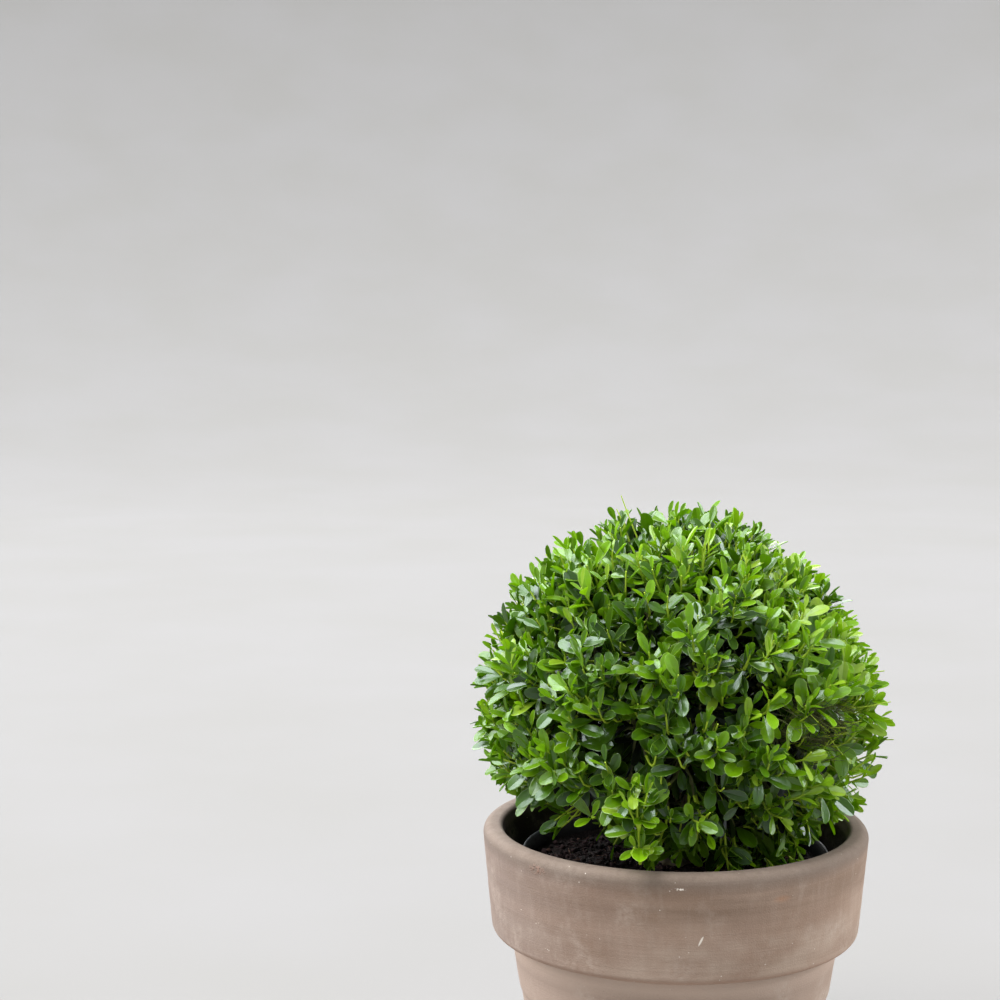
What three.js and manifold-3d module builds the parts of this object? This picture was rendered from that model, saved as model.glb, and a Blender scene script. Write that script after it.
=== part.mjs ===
// A Japanese holly clipped to a ball, in its nursery container, stood inside a clay pot with a deep collar.
// Millimetres, +Z up. The origin is the middle of the clay pot's flat underside.
import * as THREE from "three";
import { mergeVertices } from "three/addons/utils/BufferGeometryUtils.js";
import Module from "manifold-3d";

const wasm = await Module();
wasm.setup();

// Clay pot: a flared body under a collar that stands proud of it, with a rounded lip
const POT_HEIGHT = 250;
const RIM_RADIUS = 150;
const RIM_INNER_RADIUS = 134.5;
const LIP_ROUND = 7;
const COLLAR_HEIGHT = 83;
const COLLAR_FOOT_RADIUS = 143.5;
const COLLAR_EDGE_ROUND = 5;
const BODY_TOP_RADIUS = 128.5;
const BODY_FOOT_RADIUS = 104;
const BAND_HEIGHT = 47;
const BAND_STEP = 1.6;
const POT_WALL = 11;
const POT_FLOOR = 14;
const FOOT_ROUND = 3;
const DRAIN_HOLES = 3;
const DRAIN_RADIUS = 7;
const DRAIN_CIRCLE = 48;
const POT_SIDES = 48;

// Nursery container: thin black plastic, its rim lower than the clay one
const CLEARANCE = 0.3;
const CONTAINER_DROP = 22;
const CONTAINER_RIM_RADIUS = 120;
const CONTAINER_FOOT_RADIUS = 87;
const CONTAINER_WALL = 1.6;
const CONTAINER_LIP_HEIGHT = 9;
const CONTAINER_LIP_OUT = 4;
const CONTAINER_SIDES = 40;

// Compost: an uneven top a little below the container's rim
const SOIL_DROP = 33;
const SOIL_SWELL = 1.8;
const SOIL_FLAT_RADIUS = 24;
const SOIL_SIDES = 36;

// Trunk: short, leaning a little, with a lobed root flare
const TRUNK_HEIGHT = 38;
const TRUNK_FOOT_RADIUS = 8.6;
const TRUNK_TIP_RADIUS = 6.2;
const TRUNK_LEAN = new THREE.Vector2(2.5, -1.5);
const FLARE_OUT = 6.5;
const FLARE_HEIGHT = 9;
const FLARE_LOBES = 5;
const TRUNK_SIDES = 12;

// Crown: a clipped ball whose underside draws in towards the pot
const CROWN_CENTRE = new THREE.Vector3(4, 0, 345);
const CROWN_RADIUS = 157;
const DRAW_IN_LEFT = 0.65;
const DRAW_IN_RIGHT = 0.15;
const DRAW_IN_FROM = 0.3;
const LOWEST_TWIG = -68;
const LOWEST_FORK = -44;
const CORE_DEPTH = 44;
const CORE_BUMP = 7;
const CORE_SIDES = 22;
const CORE_RINGS = 13;
const HOLLOW_CENTRE = new THREE.Vector3(2, 0, 290);
const HOLLOW_RADIUS = 56;
const HOLLOW_HALF_HEIGHT = 82;
const SIDE_MASSES = 6;
const FIRST_AZIMUTH = 90;
const SIDE_TILT = -10;
const MASS_GAP = 1.6;

// Boughs: one rises to each mass
const LEADER_ROOT_RADIUS = 5.4;
const LEADER_BEND = new THREE.Vector3(3, 2, 0);
const BOUGH_ROOT_RADIUS = 4.4;
const BOUGH_TIP_RADIUS = 2.8;
const BOUGH_LOW_START = 9;
const BOUGH_STAGGER = 11;
const BOUGH_BEND_RADIUS = 26;
const BOUGH_BEND_RISE = 24;
const BOUGH_TIP_RADIAL = 46;
const BOUGH_TIP_HEIGHT = 294;
const LEADER_TIP_HEIGHT = 364;
const BOUGH_SIDES = 7;
const BOUGH_STEPS = 6;

// Growth inside a mass: stem, forks, twigs, leaves
const SEED = 1105;
const GOLDEN_ANGLE = Math.PI * (3 - Math.sqrt(5));
const STEM_TURN = 8;
const STEM_END = 82;
const PULL_FROM_EDGE = 0.1;
const FORKS = 60;
const FORK_DEPTH = 60;
const TWIGS = 128;
const TWIG_DEPTH = 24;
const TWIG_DEPTH_SPREAD = 6;
const TWIG_LIFT = 8;
const STEM_RADIUS = 2.8;
const BRANCH_RADIUS = 2.4;
const TWIG_ROOT_RADIUS = 2.0;
const TWIG_TIP_RADIUS = 1.5;
const LEAVES_ON_TWIG = 5;
const LEAF_SPACING = 4.5;
const LEAF_LENGTH = 45;
const LEAF_WIDTH = 24;
const LEAF_THICKNESS = 1.4;
const LEAF_FOLD = 1.6;
const LEAF_WIDEST = 0.62;
const LEAF_ANGLE = 64;
const LEAF_ANGLE_SPREAD = 14;
const TIP_LEAF_ANGLE = 20;
const LEAF_TRIES = 10;
const YOUNG_LEAF_SIZES = [0.55, 0.75];
const REACH_TOLERANCE = 1.03;
const SPACE_MARGIN = 0.5;
const RIM_MARGIN = 1.5;
const TOLERANCE = 0.1;

const clayMaterial = new THREE.MeshStandardMaterial({ color: "#9c8b7d", roughness: 0.9, metalness: 0 });
const plasticMaterial = new THREE.MeshStandardMaterial({ color: "#17181a", roughness: 0.5, metalness: 0 });
const soilMaterial = new THREE.MeshStandardMaterial({ color: "#2c201a", roughness: 1, metalness: 0 });
const barkMaterial = new THREE.MeshStandardMaterial({ color: "#7b6a50", roughness: 0.85, metalness: 0 });
const leafMaterial = new THREE.MeshStandardMaterial({ color: "#3c7a1e", roughness: 0.4, metalness: 0 });

const potTopInnerHeight = POT_HEIGHT - 4;
const collarFootHeight = POT_HEIGHT - COLLAR_HEIGHT;
const containerFoot = POT_FLOOR + CLEARANCE;
const containerTop = POT_HEIGHT - CONTAINER_DROP;
const soilTop = POT_HEIGHT - SOIL_DROP;
const trunkFoot = soilTop + CLEARANCE;
const trunkTop = trunkFoot + TRUNK_HEIGHT;

// A repeatable stream of numbers from 0 to 1
function randomStream(seed) {
  let state = seed >>> 0;
  return () => {
    state = (Math.imul(state, 1664525) + 1013904223) >>> 0;
    return state / 4294967296;
  };
}

// A closed geometry as a solid that can be joined and cut
function toSolid(geometry) {
  const bare = geometry.clone();
  bare.deleteAttribute("normal");
  bare.deleteAttribute("uv");
  const merged = mergeVertices(bare, 1e-4);
  const vertProperties = merged.getAttribute("position").array;
  const triVerts = new Uint32Array(merged.index.array);
  return new wasm.Manifold(new wasm.Mesh({ numProp: 3, vertProperties, triVerts }));
}

// A solid as a geometry, with slivers from the joining taken out
function toGeometry(solid) {
  const mesh = solid.asOriginal().simplify(TOLERANCE).getMesh();
  const positions = new Float32Array(mesh.numVert * 3);
  for (let i = 0; i < mesh.numVert; i++) {
    positions.set(mesh.vertProperties.subarray(i * mesh.numProp, i * mesh.numProp + 3), i * 3);
  }
  const geometry = new THREE.BufferGeometry();
  geometry.setAttribute("position", new THREE.BufferAttribute(positions, 3));
  geometry.setIndex(new THREE.BufferAttribute(mesh.triVerts, 1));
  geometry.computeVertexNormals();
  return geometry;
}

// The largest body of a solid: scraps and sealed hollows are left behind
function largestBody(solid) {
  const bodies = solid.decompose();
  return bodies.reduce((best, body) => (body.volume() > best.volume() ? body : best));
}

function node(name, geometry, material) {
  const mesh = new THREE.Mesh(geometry, material);
  mesh.name = name;
  return mesh;
}

// Points of a quarter round from one outline point to the next
function quarterRound(centreX, centreY, radius, fromDegrees, toDegrees, steps) {
  return Array.from({ length: steps + 1 }, (_, i) => {
    const angle = THREE.MathUtils.degToRad(fromDegrees + ((toDegrees - fromDegrees) * i) / steps);
    return new THREE.Vector2(centreX + radius * Math.cos(angle), centreY + radius * Math.sin(angle));
  });
}

// A solid of revolution about +Z from an outline of radius and height
function revolve(outline, sides) {
  return new THREE.LatheGeometry(outline, sides).rotateX(Math.PI / 2);
}

function clayPot() {
  const bandFoot = collarFootHeight - BAND_HEIGHT;
  const bandShare = bandFoot / collarFootHeight;
  const bandFootRadius = THREE.MathUtils.lerp(BODY_FOOT_RADIUS, BODY_TOP_RADIUS, bandShare);
  const outline = [
    new THREE.Vector2(0, 0),
    new THREE.Vector2(BODY_FOOT_RADIUS - FOOT_ROUND, 0),
    new THREE.Vector2(BODY_FOOT_RADIUS, FOOT_ROUND),
    new THREE.Vector2(bandFootRadius - BAND_STEP, bandFoot - BAND_STEP),
    new THREE.Vector2(bandFootRadius, bandFoot + BAND_STEP),
    new THREE.Vector2(BODY_TOP_RADIUS, collarFootHeight),
    ...quarterRound(
      COLLAR_FOOT_RADIUS - COLLAR_EDGE_ROUND,
      collarFootHeight + COLLAR_EDGE_ROUND,
      COLLAR_EDGE_ROUND, -80, 0, 2,
    ),
    ...quarterRound(RIM_RADIUS - LIP_ROUND, POT_HEIGHT - LIP_ROUND, LIP_ROUND, 0, 90, 3),
    new THREE.Vector2(RIM_INNER_RADIUS + 3, POT_HEIGHT),
    new THREE.Vector2(RIM_INNER_RADIUS, potTopInnerHeight),
    new THREE.Vector2(BODY_TOP_RADIUS - POT_WALL, collarFootHeight),
    new THREE.Vector2(BODY_FOOT_RADIUS - POT_WALL, POT_FLOOR + FOOT_ROUND),
    new THREE.Vector2(BODY_FOOT_RADIUS - POT_WALL - FOOT_ROUND, POT_FLOOR),
    new THREE.Vector2(0, POT_FLOOR),
  ];
  let pot = toSolid(revolve(outline, POT_SIDES));
  for (let i = 0; i < DRAIN_HOLES; i++) {
    const angle = (2 * Math.PI * i) / DRAIN_HOLES;
    const hole = new THREE.CylinderGeometry(DRAIN_RADIUS, DRAIN_RADIUS, 4 * POT_FLOOR, 16);
    hole.rotateX(Math.PI / 2);
    hole.translate(DRAIN_CIRCLE * Math.cos(angle), DRAIN_CIRCLE * Math.sin(angle), 0);
    pot = pot.subtract(toSolid(hole));
  }
  return toGeometry(pot);
}

// Outer radius of the nursery container's wall at a height, without its lip
function containerRadius(height) {
  const share = (height - containerFoot) / (containerTop - containerFoot);
  const under = CONTAINER_RIM_RADIUS - CONTAINER_LIP_OUT;
  return THREE.MathUtils.lerp(CONTAINER_FOOT_RADIUS, under, share);
}

function nurseryContainer() {
  const lipFoot = containerTop - CONTAINER_LIP_HEIGHT;
  const floor = containerFoot + CONTAINER_WALL;
  const outline = [
    new THREE.Vector2(0, containerFoot),
    new THREE.Vector2(CONTAINER_FOOT_RADIUS, containerFoot),
    new THREE.Vector2(containerRadius(lipFoot), lipFoot),
    new THREE.Vector2(CONTAINER_RIM_RADIUS - 1, lipFoot + 1),
    new THREE.Vector2(CONTAINER_RIM_RADIUS, containerTop - 1.5),
    new THREE.Vector2(CONTAINER_RIM_RADIUS - 1.5, containerTop),
    new THREE.Vector2(containerRadius(containerTop) - CONTAINER_WALL, containerTop),
    new THREE.Vector2(containerRadius(floor) - CONTAINER_WALL, floor),
    new THREE.Vector2(0, floor),
  ];
  return revolve(outline, CONTAINER_SIDES);
}

// Height of the compost's surface: flat at the foot of the trunk, uneven towards the wall
function soilHeight(x, y) {
  const radius = Math.hypot(x, y);
  const share = THREE.MathUtils.smoothstep(radius, SOIL_FLAT_RADIUS, 2 * SOIL_FLAT_RADIUS);
  return soilTop + share * SOIL_SWELL * (Math.sin(x / 11) + Math.cos(y / 9) - 1.2);
}

function compost() {
  const foot = containerFoot + CONTAINER_WALL + CLEARANCE;
  const gap = CONTAINER_WALL + 2 * CLEARANCE;
  const edge = containerRadius(soilTop) - gap;
  const rings = [edge, 0.78 * edge, 0.56 * edge, SOIL_FLAT_RADIUS, 0];
  const outline = [
    new THREE.Vector2(0, foot),
    new THREE.Vector2(containerRadius(foot) - gap, foot),
    ...rings.map((radius) => new THREE.Vector2(radius, soilTop)),
  ];
  const geometry = revolve(outline, SOIL_SIDES);
  const position = geometry.getAttribute("position");
  for (let i = 0; i < position.count; i++) {
    const radius = Math.hypot(position.getX(i), position.getY(i));
    if (position.getZ(i) > soilTop - 1 && radius < edge - 1) {
      position.setZ(i, soilHeight(position.getX(i), position.getY(i)));
    }
  }
  return geometry;
}

// A tapering limb along a smooth line: radiusAt takes the share along it and the angle round it
function limb(points, radiusAt, sides, steps) {
  const line = new THREE.CatmullRomCurve3(points);
  const positions = [];
  const faces = [];
  const side = new THREE.Vector3();
  const across = new THREE.Vector3();
  const start = line.getTangentAt(0);
  const reference = Math.abs(start.x) < 0.9 ? new THREE.Vector3(1, 0, 0) : new THREE.Vector3(0, 1, 0);
  for (let i = 0; i <= steps; i++) {
    const share = i / steps;
    const centre = line.getPointAt(share);
    const along = line.getTangentAt(share);
    side.copy(reference).addScaledVector(along, -reference.dot(along)).normalize();
    across.crossVectors(along, side);
    for (let j = 0; j < sides; j++) {
      const angle = (2 * Math.PI * j) / sides;
      const radius = radiusAt(share, angle);
      const point = centre.clone();
      point.addScaledVector(side, radius * Math.cos(angle));
      point.addScaledVector(across, radius * Math.sin(angle));
      positions.push(point.x, point.y, point.z);
    }
  }
  for (let i = 0; i < steps; i++) {
    for (let j = 0; j < sides; j++) {
      const a = i * sides + j;
      const b = i * sides + ((j + 1) % sides);
      faces.push(a, b, b + sides, a, b + sides, a + sides);
    }
  }
  const last = steps * sides;
  for (let j = 1; j < sides - 1; j++) {
    faces.push(0, j + 1, j, last, last + j, last + j + 1);
  }
  const geometry = new THREE.BufferGeometry();
  geometry.setAttribute("position", new THREE.Float32BufferAttribute(positions, 3));
  geometry.setIndex(faces);
  geometry.computeVertexNormals();
  return geometry;
}

// The trunk, or the trunk grown by a margin on its sides and top, cut flat where it stands on the compost
function trunkSolid(grown) {
  const points = [-0.1, 0.35, 0.7, 1].map((share) => new THREE.Vector3(
    TRUNK_LEAN.x * share * share,
    TRUNK_LEAN.y * share * share,
    trunkFoot + (TRUNK_HEIGHT + grown) * share,
  ));
  const radiusAt = (share, angle) => {
    const flare = Math.exp((-share * TRUNK_HEIGHT) / FLARE_HEIGHT);
    const lobes = 0.75 + 0.25 * Math.cos(FLARE_LOBES * angle);
    return grown + THREE.MathUtils.lerp(TRUNK_FOOT_RADIUS, TRUNK_TIP_RADIUS, share) + FLARE_OUT * flare * lobes;
  };
  return toSolid(limb(points, radiusAt, TRUNK_SIDES, 8)).trimByPlane([0, 0, 1], trunkFoot);
}

// Direction from the crown's centre to the middle of each mass: the top one first, then those round the side
function massDirections() {
  const directions = [new THREE.Vector3(0, 0, 1)];
  const tilt = THREE.MathUtils.degToRad(SIDE_TILT);
  for (let i = 0; i < SIDE_MASSES; i++) {
    const azimuth = THREE.MathUtils.degToRad(FIRST_AZIMUTH + (360 * i) / SIDE_MASSES);
    directions.push(new THREE.Vector3(
      Math.cos(tilt) * Math.cos(azimuth),
      Math.cos(tilt) * Math.sin(azimuth),
      Math.sin(tilt),
    ));
  }
  return directions;
}

const MASS_NAMES = [
  "foliage_top",
  ...Array.from({ length: SIDE_MASSES }, (_, i) => `foliage_side_${i + 1}`),
];
const massAxes = massDirections();

// Distance from the crown's centre to its clipped surface along a direction: the ball draws in underneath,
// and more so on the left
function crownReach(direction) {
  const below = Math.max(0, -direction.z - DRAW_IN_FROM);
  const rightward = 0.5 + (0.5 * direction.x) / Math.hypot(direction.x, direction.y, 1e-6);
  const drawIn = THREE.MathUtils.lerp(DRAW_IN_LEFT, DRAW_IN_RIGHT, rightward);
  return CROWN_RADIUS * (1 - drawIn * below * below);
}

function nearest(direction, candidates) {
  return candidates.reduce((best, other, i) => (
    other.dot(direction) > candidates[best].dot(direction) ? i : best
  ), 0);
}

// Points spread evenly over a ball, as unit directions, down to the lowest one wanted
function evenDirections(count, lowestDegrees) {
  const directions = [];
  for (let i = 0; i < count; i++) {
    const z = 1 - (2 * i + 1) / count;
    const ring = Math.sqrt(1 - z * z);
    const angle = GOLDEN_ANGLE * i;
    if (z > Math.sin(THREE.MathUtils.degToRad(lowestDegrees))) {
      directions.push(new THREE.Vector3(ring * Math.cos(angle), ring * Math.sin(angle), z));
    }
  }
  return directions;
}

// Those of the evenly spread directions that belong to a mass, drawn in a little from its edges
function ownDirections(mass, count, lowestDegrees) {
  const own = evenDirections(count, lowestDegrees).filter((each) => nearest(each, massAxes) === mass);
  return own.map((each) => each.lerp(massAxes[mass], PULL_FROM_EDGE).normalize());
}

// True if a point is at least margin inside the wedge of space that belongs to a mass
function inOwnSpace(point, mass, margin) {
  const offset = point.clone().sub(CROWN_CENTRE);
  return massAxes.every((axis, other) => {
    const between = axis.clone().sub(massAxes[mass]).normalize();
    return other === mass || offset.dot(between) < -margin;
  });
}

// True if a point is inside the clipped outline, clear of the clay rim, the container and the compost
function isFree(point) {
  const offset = point.clone().sub(CROWN_CENTRE);
  const direction = offset.clone().normalize();
  if (offset.length() > crownReach(direction) * REACH_TOLERANCE) {
    return false;
  }
  const radius = Math.hypot(point.x, point.y);
  const insideRadius = CONTAINER_RIM_RADIUS - CONTAINER_LIP_OUT - CONTAINER_WALL - 2 * RIM_MARGIN;
  if (point.z < POT_HEIGHT + RIM_MARGIN && radius > insideRadius) {
    return false;
  }
  return point.z > soilTop + 2 * SOIL_SWELL + RIM_MARGIN;
}

// A straight three-sided twig from one point to another
function twig(from, to, rootRadius, tipRadius) {
  const along = to.clone().sub(from);
  const geometry = new THREE.CylinderGeometry(tipRadius, rootRadius, along.length(), 3);
  geometry.translate(0, along.length() / 2, 0);
  const turn = new THREE.Quaternion().setFromUnitVectors(new THREE.Vector3(0, 1, 0), along.normalize());
  return toSolid(geometry.applyQuaternion(turn).translate(from.x, from.y, from.z));
}

// A leaf of eight faces, folded up along its midrib, with a keel below that deepens its root.
// x runs from root to tip and z is its upper side.
function leafShape(size) {
  const widest = LEAF_WIDEST * LEAF_LENGTH * size;
  const halfWidth = (LEAF_WIDTH * size) / 2;
  const corners = [
    [0, 0, 0],
    [0, 0, -LEAF_THICKNESS],
    [widest, halfWidth, LEAF_FOLD],
    [widest, 0, -LEAF_THICKNESS],
    [widest, -halfWidth, LEAF_FOLD],
    [LEAF_LENGTH * size, 0, 0],
  ];
  const faces = [0, 5, 2, 0, 4, 5, 0, 2, 1, 0, 1, 4, 1, 2, 3, 1, 3, 4, 2, 5, 3, 3, 5, 4];
  const geometry = new THREE.BufferGeometry();
  geometry.setAttribute("position", new THREE.Float32BufferAttribute(corners.flat(), 3));
  geometry.setIndex(faces);
  return geometry;
}

// Where a leaf sits: along its blade, across it and out of its upper face
function leafFrame(root, along, angle, roll) {
  const reference = Math.abs(along.z) < 0.9 ? new THREE.Vector3(0, 0, 1) : new THREE.Vector3(1, 0, 0);
  const side = reference.addScaledVector(along, -reference.dot(along)).normalize();
  side.applyAxisAngle(along, roll);
  const blade = along.clone().multiplyScalar(Math.cos(angle)).addScaledVector(side, Math.sin(angle));
  const upper = along.clone().multiplyScalar(Math.sin(angle)).addScaledVector(side, -Math.cos(angle));
  const across = new THREE.Vector3().crossVectors(upper, blade);
  return new THREE.Matrix4().makeBasis(blade, across, upper).setPosition(root);
}

// True if a solid keeps its distance from all the others
function isClearOf(others, solid) {
  return others.every((other) => solid.minGap(other, 2 * CLEARANCE) > CLEARANCE);
}

// True if every corner of a shape lies in its mass's space and in the open
function isInside(shape, mass) {
  const position = shape.getAttribute("position");
  const corners = Array.from({ length: position.count }, (_, k) => (
    new THREE.Vector3().fromBufferAttribute(position, k)
  ));
  return corners.every((corner) => inOwnSpace(corner, mass, SPACE_MARGIN) && isFree(corner));
}

// The leaves of one twig, from its tip down, each turned by the golden angle from the last. A leaf without
// room is turned on a little and tried again, and left out in the end.
function leavesOn(from, tip, mass, others, random) {
  const along = tip.clone().sub(from).normalize();
  const leaves = [];
  let roll = 2 * Math.PI * random();
  for (let i = 0; i < LEAVES_ON_TWIG; i++) {
    const size = (YOUNG_LEAF_SIZES[i] ?? 0.92) + 0.14 * random();
    const root = tip.clone().addScaledVector(along, -LEAF_SPACING * (i + 0.4));
    for (let attempt = 0; attempt < LEAF_TRIES; attempt++) {
      const spread = LEAF_ANGLE + LEAF_ANGLE_SPREAD * (2 * random() - 1);
      const angle = THREE.MathUtils.degToRad(i === 0 ? TIP_LEAF_ANGLE : spread);
      const shape = leafShape(size).applyMatrix4(leafFrame(root, along, angle, roll));
      const leaf = toSolid(shape);
      roll += GOLDEN_ANGLE;
      if (isInside(shape, mass) && isClearOf([...others, ...leaves], leaf)) {
        leaves.push(leaf);
        break;
      }
    }
  }
  return leaves;
}

// The dense inner part of the crown as one ball, open in the middle where the bare boughs run
function crownCore() {
  const ball = new THREE.SphereGeometry(1, CORE_SIDES, CORE_RINGS).rotateX(Math.PI / 2);
  const position = ball.getAttribute("position");
  for (let i = 0; i < position.count; i++) {
    const direction = new THREE.Vector3().fromBufferAttribute(position, i).normalize();
    const bump = Math.sin(9 * direction.x + 1) * Math.cos(8 * direction.y) + Math.sin(10 * direction.z);
    const depth = CORE_DEPTH + (CORE_BUMP * bump) / 2;
    const point = direction.clone().multiplyScalar(crownReach(direction) - depth).add(CROWN_CENTRE);
    position.setXYZ(i, point.x, point.y, point.z);
  }
  const hollow = new THREE.SphereGeometry(1, 12, 8).rotateX(Math.PI / 2);
  hollow.scale(HOLLOW_RADIUS, HOLLOW_RADIUS, HOLLOW_HALF_HEIGHT);
  hollow.translate(HOLLOW_CENTRE.x, HOLLOW_CENTRE.y, HOLLOW_CENTRE.z);
  return toSolid(ball).subtract(toSolid(hollow));
}

// The share of the core that lies in a mass's own wedge
function coreOf(mass, core) {
  return massAxes.reduce((solid, axis, other) => {
    if (other === mass) {
      return solid;
    }
    const inward = massAxes[mass].clone().sub(axis).normalize();
    const offset = inward.dot(CROWN_CENTRE) + MASS_GAP / 2;
    return solid.trimByPlane(inward.toArray(), offset);
  }, core);
}

function boughTip(mass) {
  if (mass === 0) {
    return new THREE.Vector3(HOLLOW_CENTRE.x, HOLLOW_CENTRE.y, LEADER_TIP_HEIGHT);
  }
  const outward = new THREE.Vector3(massAxes[mass].x, massAxes[mass].y, 0).normalize();
  const tip = outward.multiplyScalar(BOUGH_TIP_RADIAL).add(HOLLOW_CENTRE);
  return tip.setZ(BOUGH_TIP_HEIGHT);
}

// Where a mass's one stem ends and its forks begin
function stemEnd(mass) {
  return massAxes[mass].clone().multiplyScalar(STEM_END).add(CROWN_CENTRE);
}

// The line of a bough: the leader carries the trunk on, the others leave its side and turn upwards
function boughLine(mass) {
  const end = boughTip(mass);
  if (mass === 0) {
    const foot = new THREE.Vector3(TRUNK_LEAN.x, TRUNK_LEAN.y, trunkTop - TRUNK_TIP_RADIUS);
    return [foot, foot.clone().lerp(end, 0.5).add(LEADER_BEND), end];
  }
  const outward = new THREE.Vector3(massAxes[mass].x, massAxes[mass].y, 0).normalize();
  const start = trunkFoot + BOUGH_LOW_START + (mass % 2) * BOUGH_STAGGER;
  const bend = outward.multiplyScalar(BOUGH_BEND_RADIUS).setZ(start + BOUGH_BEND_RISE);
  return [new THREE.Vector3(0, 0, start), bend, end];
}

function boughSolid(mass, trunkGrown) {
  const root = mass === 0 ? LEADER_ROOT_RADIUS : BOUGH_ROOT_RADIUS;
  const radiusAt = (share) => THREE.MathUtils.lerp(root, BOUGH_TIP_RADIUS, share);
  const whole = limb(boughLine(mass), radiusAt, BOUGH_SIDES, BOUGH_STEPS);
  return largestBody(toSolid(whole).subtract(trunkGrown));
}

// One mass: its core, its stem, and the forks, twigs and leaves that grow from that stem
function foliage(mass, core, limbs, random) {
  const bough = new THREE.CatmullRomCurve3(boughLine(mass));
  const onwards = bough.getTangentAt(1);
  const foot = bough.getPointAt(1).addScaledVector(onwards, CLEARANCE);
  const turn = foot.clone().addScaledVector(onwards, STEM_TURN);
  const end = stemEnd(mass);
  const heart = coreOf(mass, core);
  const branches = [
    twig(foot, turn, STEM_RADIUS, STEM_RADIUS),
    twig(turn.clone().addScaledVector(onwards, -STEM_RADIUS), end, STEM_RADIUS, STEM_RADIUS),
  ];
  const depthOf = (direction, depth) => (
    direction.clone().multiplyScalar(crownReach(direction) - depth).add(CROWN_CENTRE)
  );
  const forks = ownDirections(mass, FORKS, LOWEST_FORK);
  const forkPoints = forks.map((direction) => depthOf(direction, FORK_DEPTH));
  forkPoints.forEach((point) => branches.push(twig(end, point, BRANCH_RADIUS, BRANCH_RADIUS)));
  const twigs = [];
  for (const direction of ownDirections(mass, TWIGS, LOWEST_TWIG)) {
    const from = forkPoints[nearest(direction, forks)];
    const tip = depthOf(direction, TWIG_DEPTH + TWIG_DEPTH_SPREAD * (2 * random() - 1));
    tip.z += TWIG_LIFT * (random() - 0.3);
    const solid = twig(from, tip, TWIG_ROOT_RADIUS, TWIG_TIP_RADIUS);
    if (inOwnSpace(tip, mass, 2 * TWIG_TIP_RADIUS) && isFree(tip) && isClearOf([limbs], solid)) {
      twigs.push({ from, tip, solid });
    }
  }
  const leaves = [];
  for (const { from, tip, solid } of twigs) {
    const otherTwigs = twigs.map((other) => other.solid).filter((other) => other !== solid);
    leaves.push(...leavesOn(from, tip, mass, [heart, limbs, ...otherTwigs, ...leaves], random));
  }
  const pieces = [heart, ...branches, ...twigs.map((each) => each.solid), ...leaves];
  return toGeometry(largestBody(wasm.Manifold.union(pieces)));
}

const plant = new THREE.Group();
const core = crownCore();
const trunk = trunkSolid(0);
const trunkGrown = trunkSolid(CLEARANCE);
const boughs = massAxes.map((_, mass) => boughSolid(mass, trunkGrown));
const limbs = wasm.Manifold.union([trunk, ...boughs]);

plant.add(node("clay_pot", clayPot(), clayMaterial));
plant.add(node("nursery_container", nurseryContainer(), plasticMaterial));
plant.add(node("compost", compost(), soilMaterial));
plant.add(node("trunk", toGeometry(trunk), barkMaterial));
MASS_NAMES.forEach((name, mass) => {
  const boughName = mass === 0 ? "bough_leader" : `bough_side_${mass}`;
  const random = randomStream(SEED + mass);
  plant.add(node(boughName, toGeometry(boughs[mass]), barkMaterial));
  plant.add(node(name, foliage(mass, core, limbs, random), leafMaterial));
});

export default plant;
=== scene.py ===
# A Japanese holly clipped to a ball, in its nursery container, stood inside a weathered clay pot.
# Metres, +Z up. The origin is the middle of the clay pot's flat underside.
import math

import bpy
import numpy as np
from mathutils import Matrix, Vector, noise


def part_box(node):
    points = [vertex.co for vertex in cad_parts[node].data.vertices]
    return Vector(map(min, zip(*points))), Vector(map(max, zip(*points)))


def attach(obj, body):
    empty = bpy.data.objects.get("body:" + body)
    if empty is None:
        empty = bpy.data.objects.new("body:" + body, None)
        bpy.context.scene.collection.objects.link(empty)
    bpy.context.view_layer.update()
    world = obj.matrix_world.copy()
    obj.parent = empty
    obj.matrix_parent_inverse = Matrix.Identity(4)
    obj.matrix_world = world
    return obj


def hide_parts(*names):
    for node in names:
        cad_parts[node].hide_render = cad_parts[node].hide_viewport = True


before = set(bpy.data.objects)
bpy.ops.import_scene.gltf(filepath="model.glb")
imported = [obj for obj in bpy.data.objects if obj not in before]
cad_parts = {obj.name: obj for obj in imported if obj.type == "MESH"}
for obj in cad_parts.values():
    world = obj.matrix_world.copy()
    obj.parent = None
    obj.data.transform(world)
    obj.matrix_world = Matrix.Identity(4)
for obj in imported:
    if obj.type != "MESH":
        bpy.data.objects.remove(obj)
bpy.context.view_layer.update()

# Clay pot, from the rim down
POT_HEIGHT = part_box("clay_pot")[1].z
RIM_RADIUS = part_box("clay_pot")[1].x
RIM_INNER_RADIUS = 0.1345
LIP_ROUND = 0.007
LIP_INNER_ROUND = 0.004
COLLAR_FOOT_HEIGHT = 0.165
COLLAR_FOOT_RADIUS = 0.1435
COLLAR_ROUND_OUT = 0.0090
COLLAR_ROUND_UP = 0.0068
COLLAR_NECK_OUT = 0.0008
COLLAR_NECK_DOWN = 0.0006
BODY_TOP_RADIUS = 0.1285
BODY_FOOT_RADIUS = 0.104
BAND_FOOT_HEIGHT = 0.120
BAND_STEP = 0.0016
BAND_UNDERCUT = 0.3
POT_WALL = 0.011
POT_FLOOR = 0.014
FOOT_ROUND = 0.003
DRAIN_HOLES = 3
DRAIN_RADIUS = 0.007
DRAIN_CIRCLE = 0.048
DRAIN_SIDES = 32
POT_SIDES = 160
RING_PITCH = 0.004
POT_SMOOTH = 32

# The unevenness of a thrown pot: low ridges from the fingers, and waves round the wall, each with its
# strength, its number, where it starts and how far it turns in a metre of height
THROWING_RIDGE = 0.00022
RIDGE_PITCH = 0.0065
RIDGE_DRIFT = 0.6
POT_WOBBLE = 0.0005
POT_WAVES = ((1.0, 2, 0.8, 0), (0.5, 3, 2.1, 9))
EVEN_FOOT = 0.01

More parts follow.
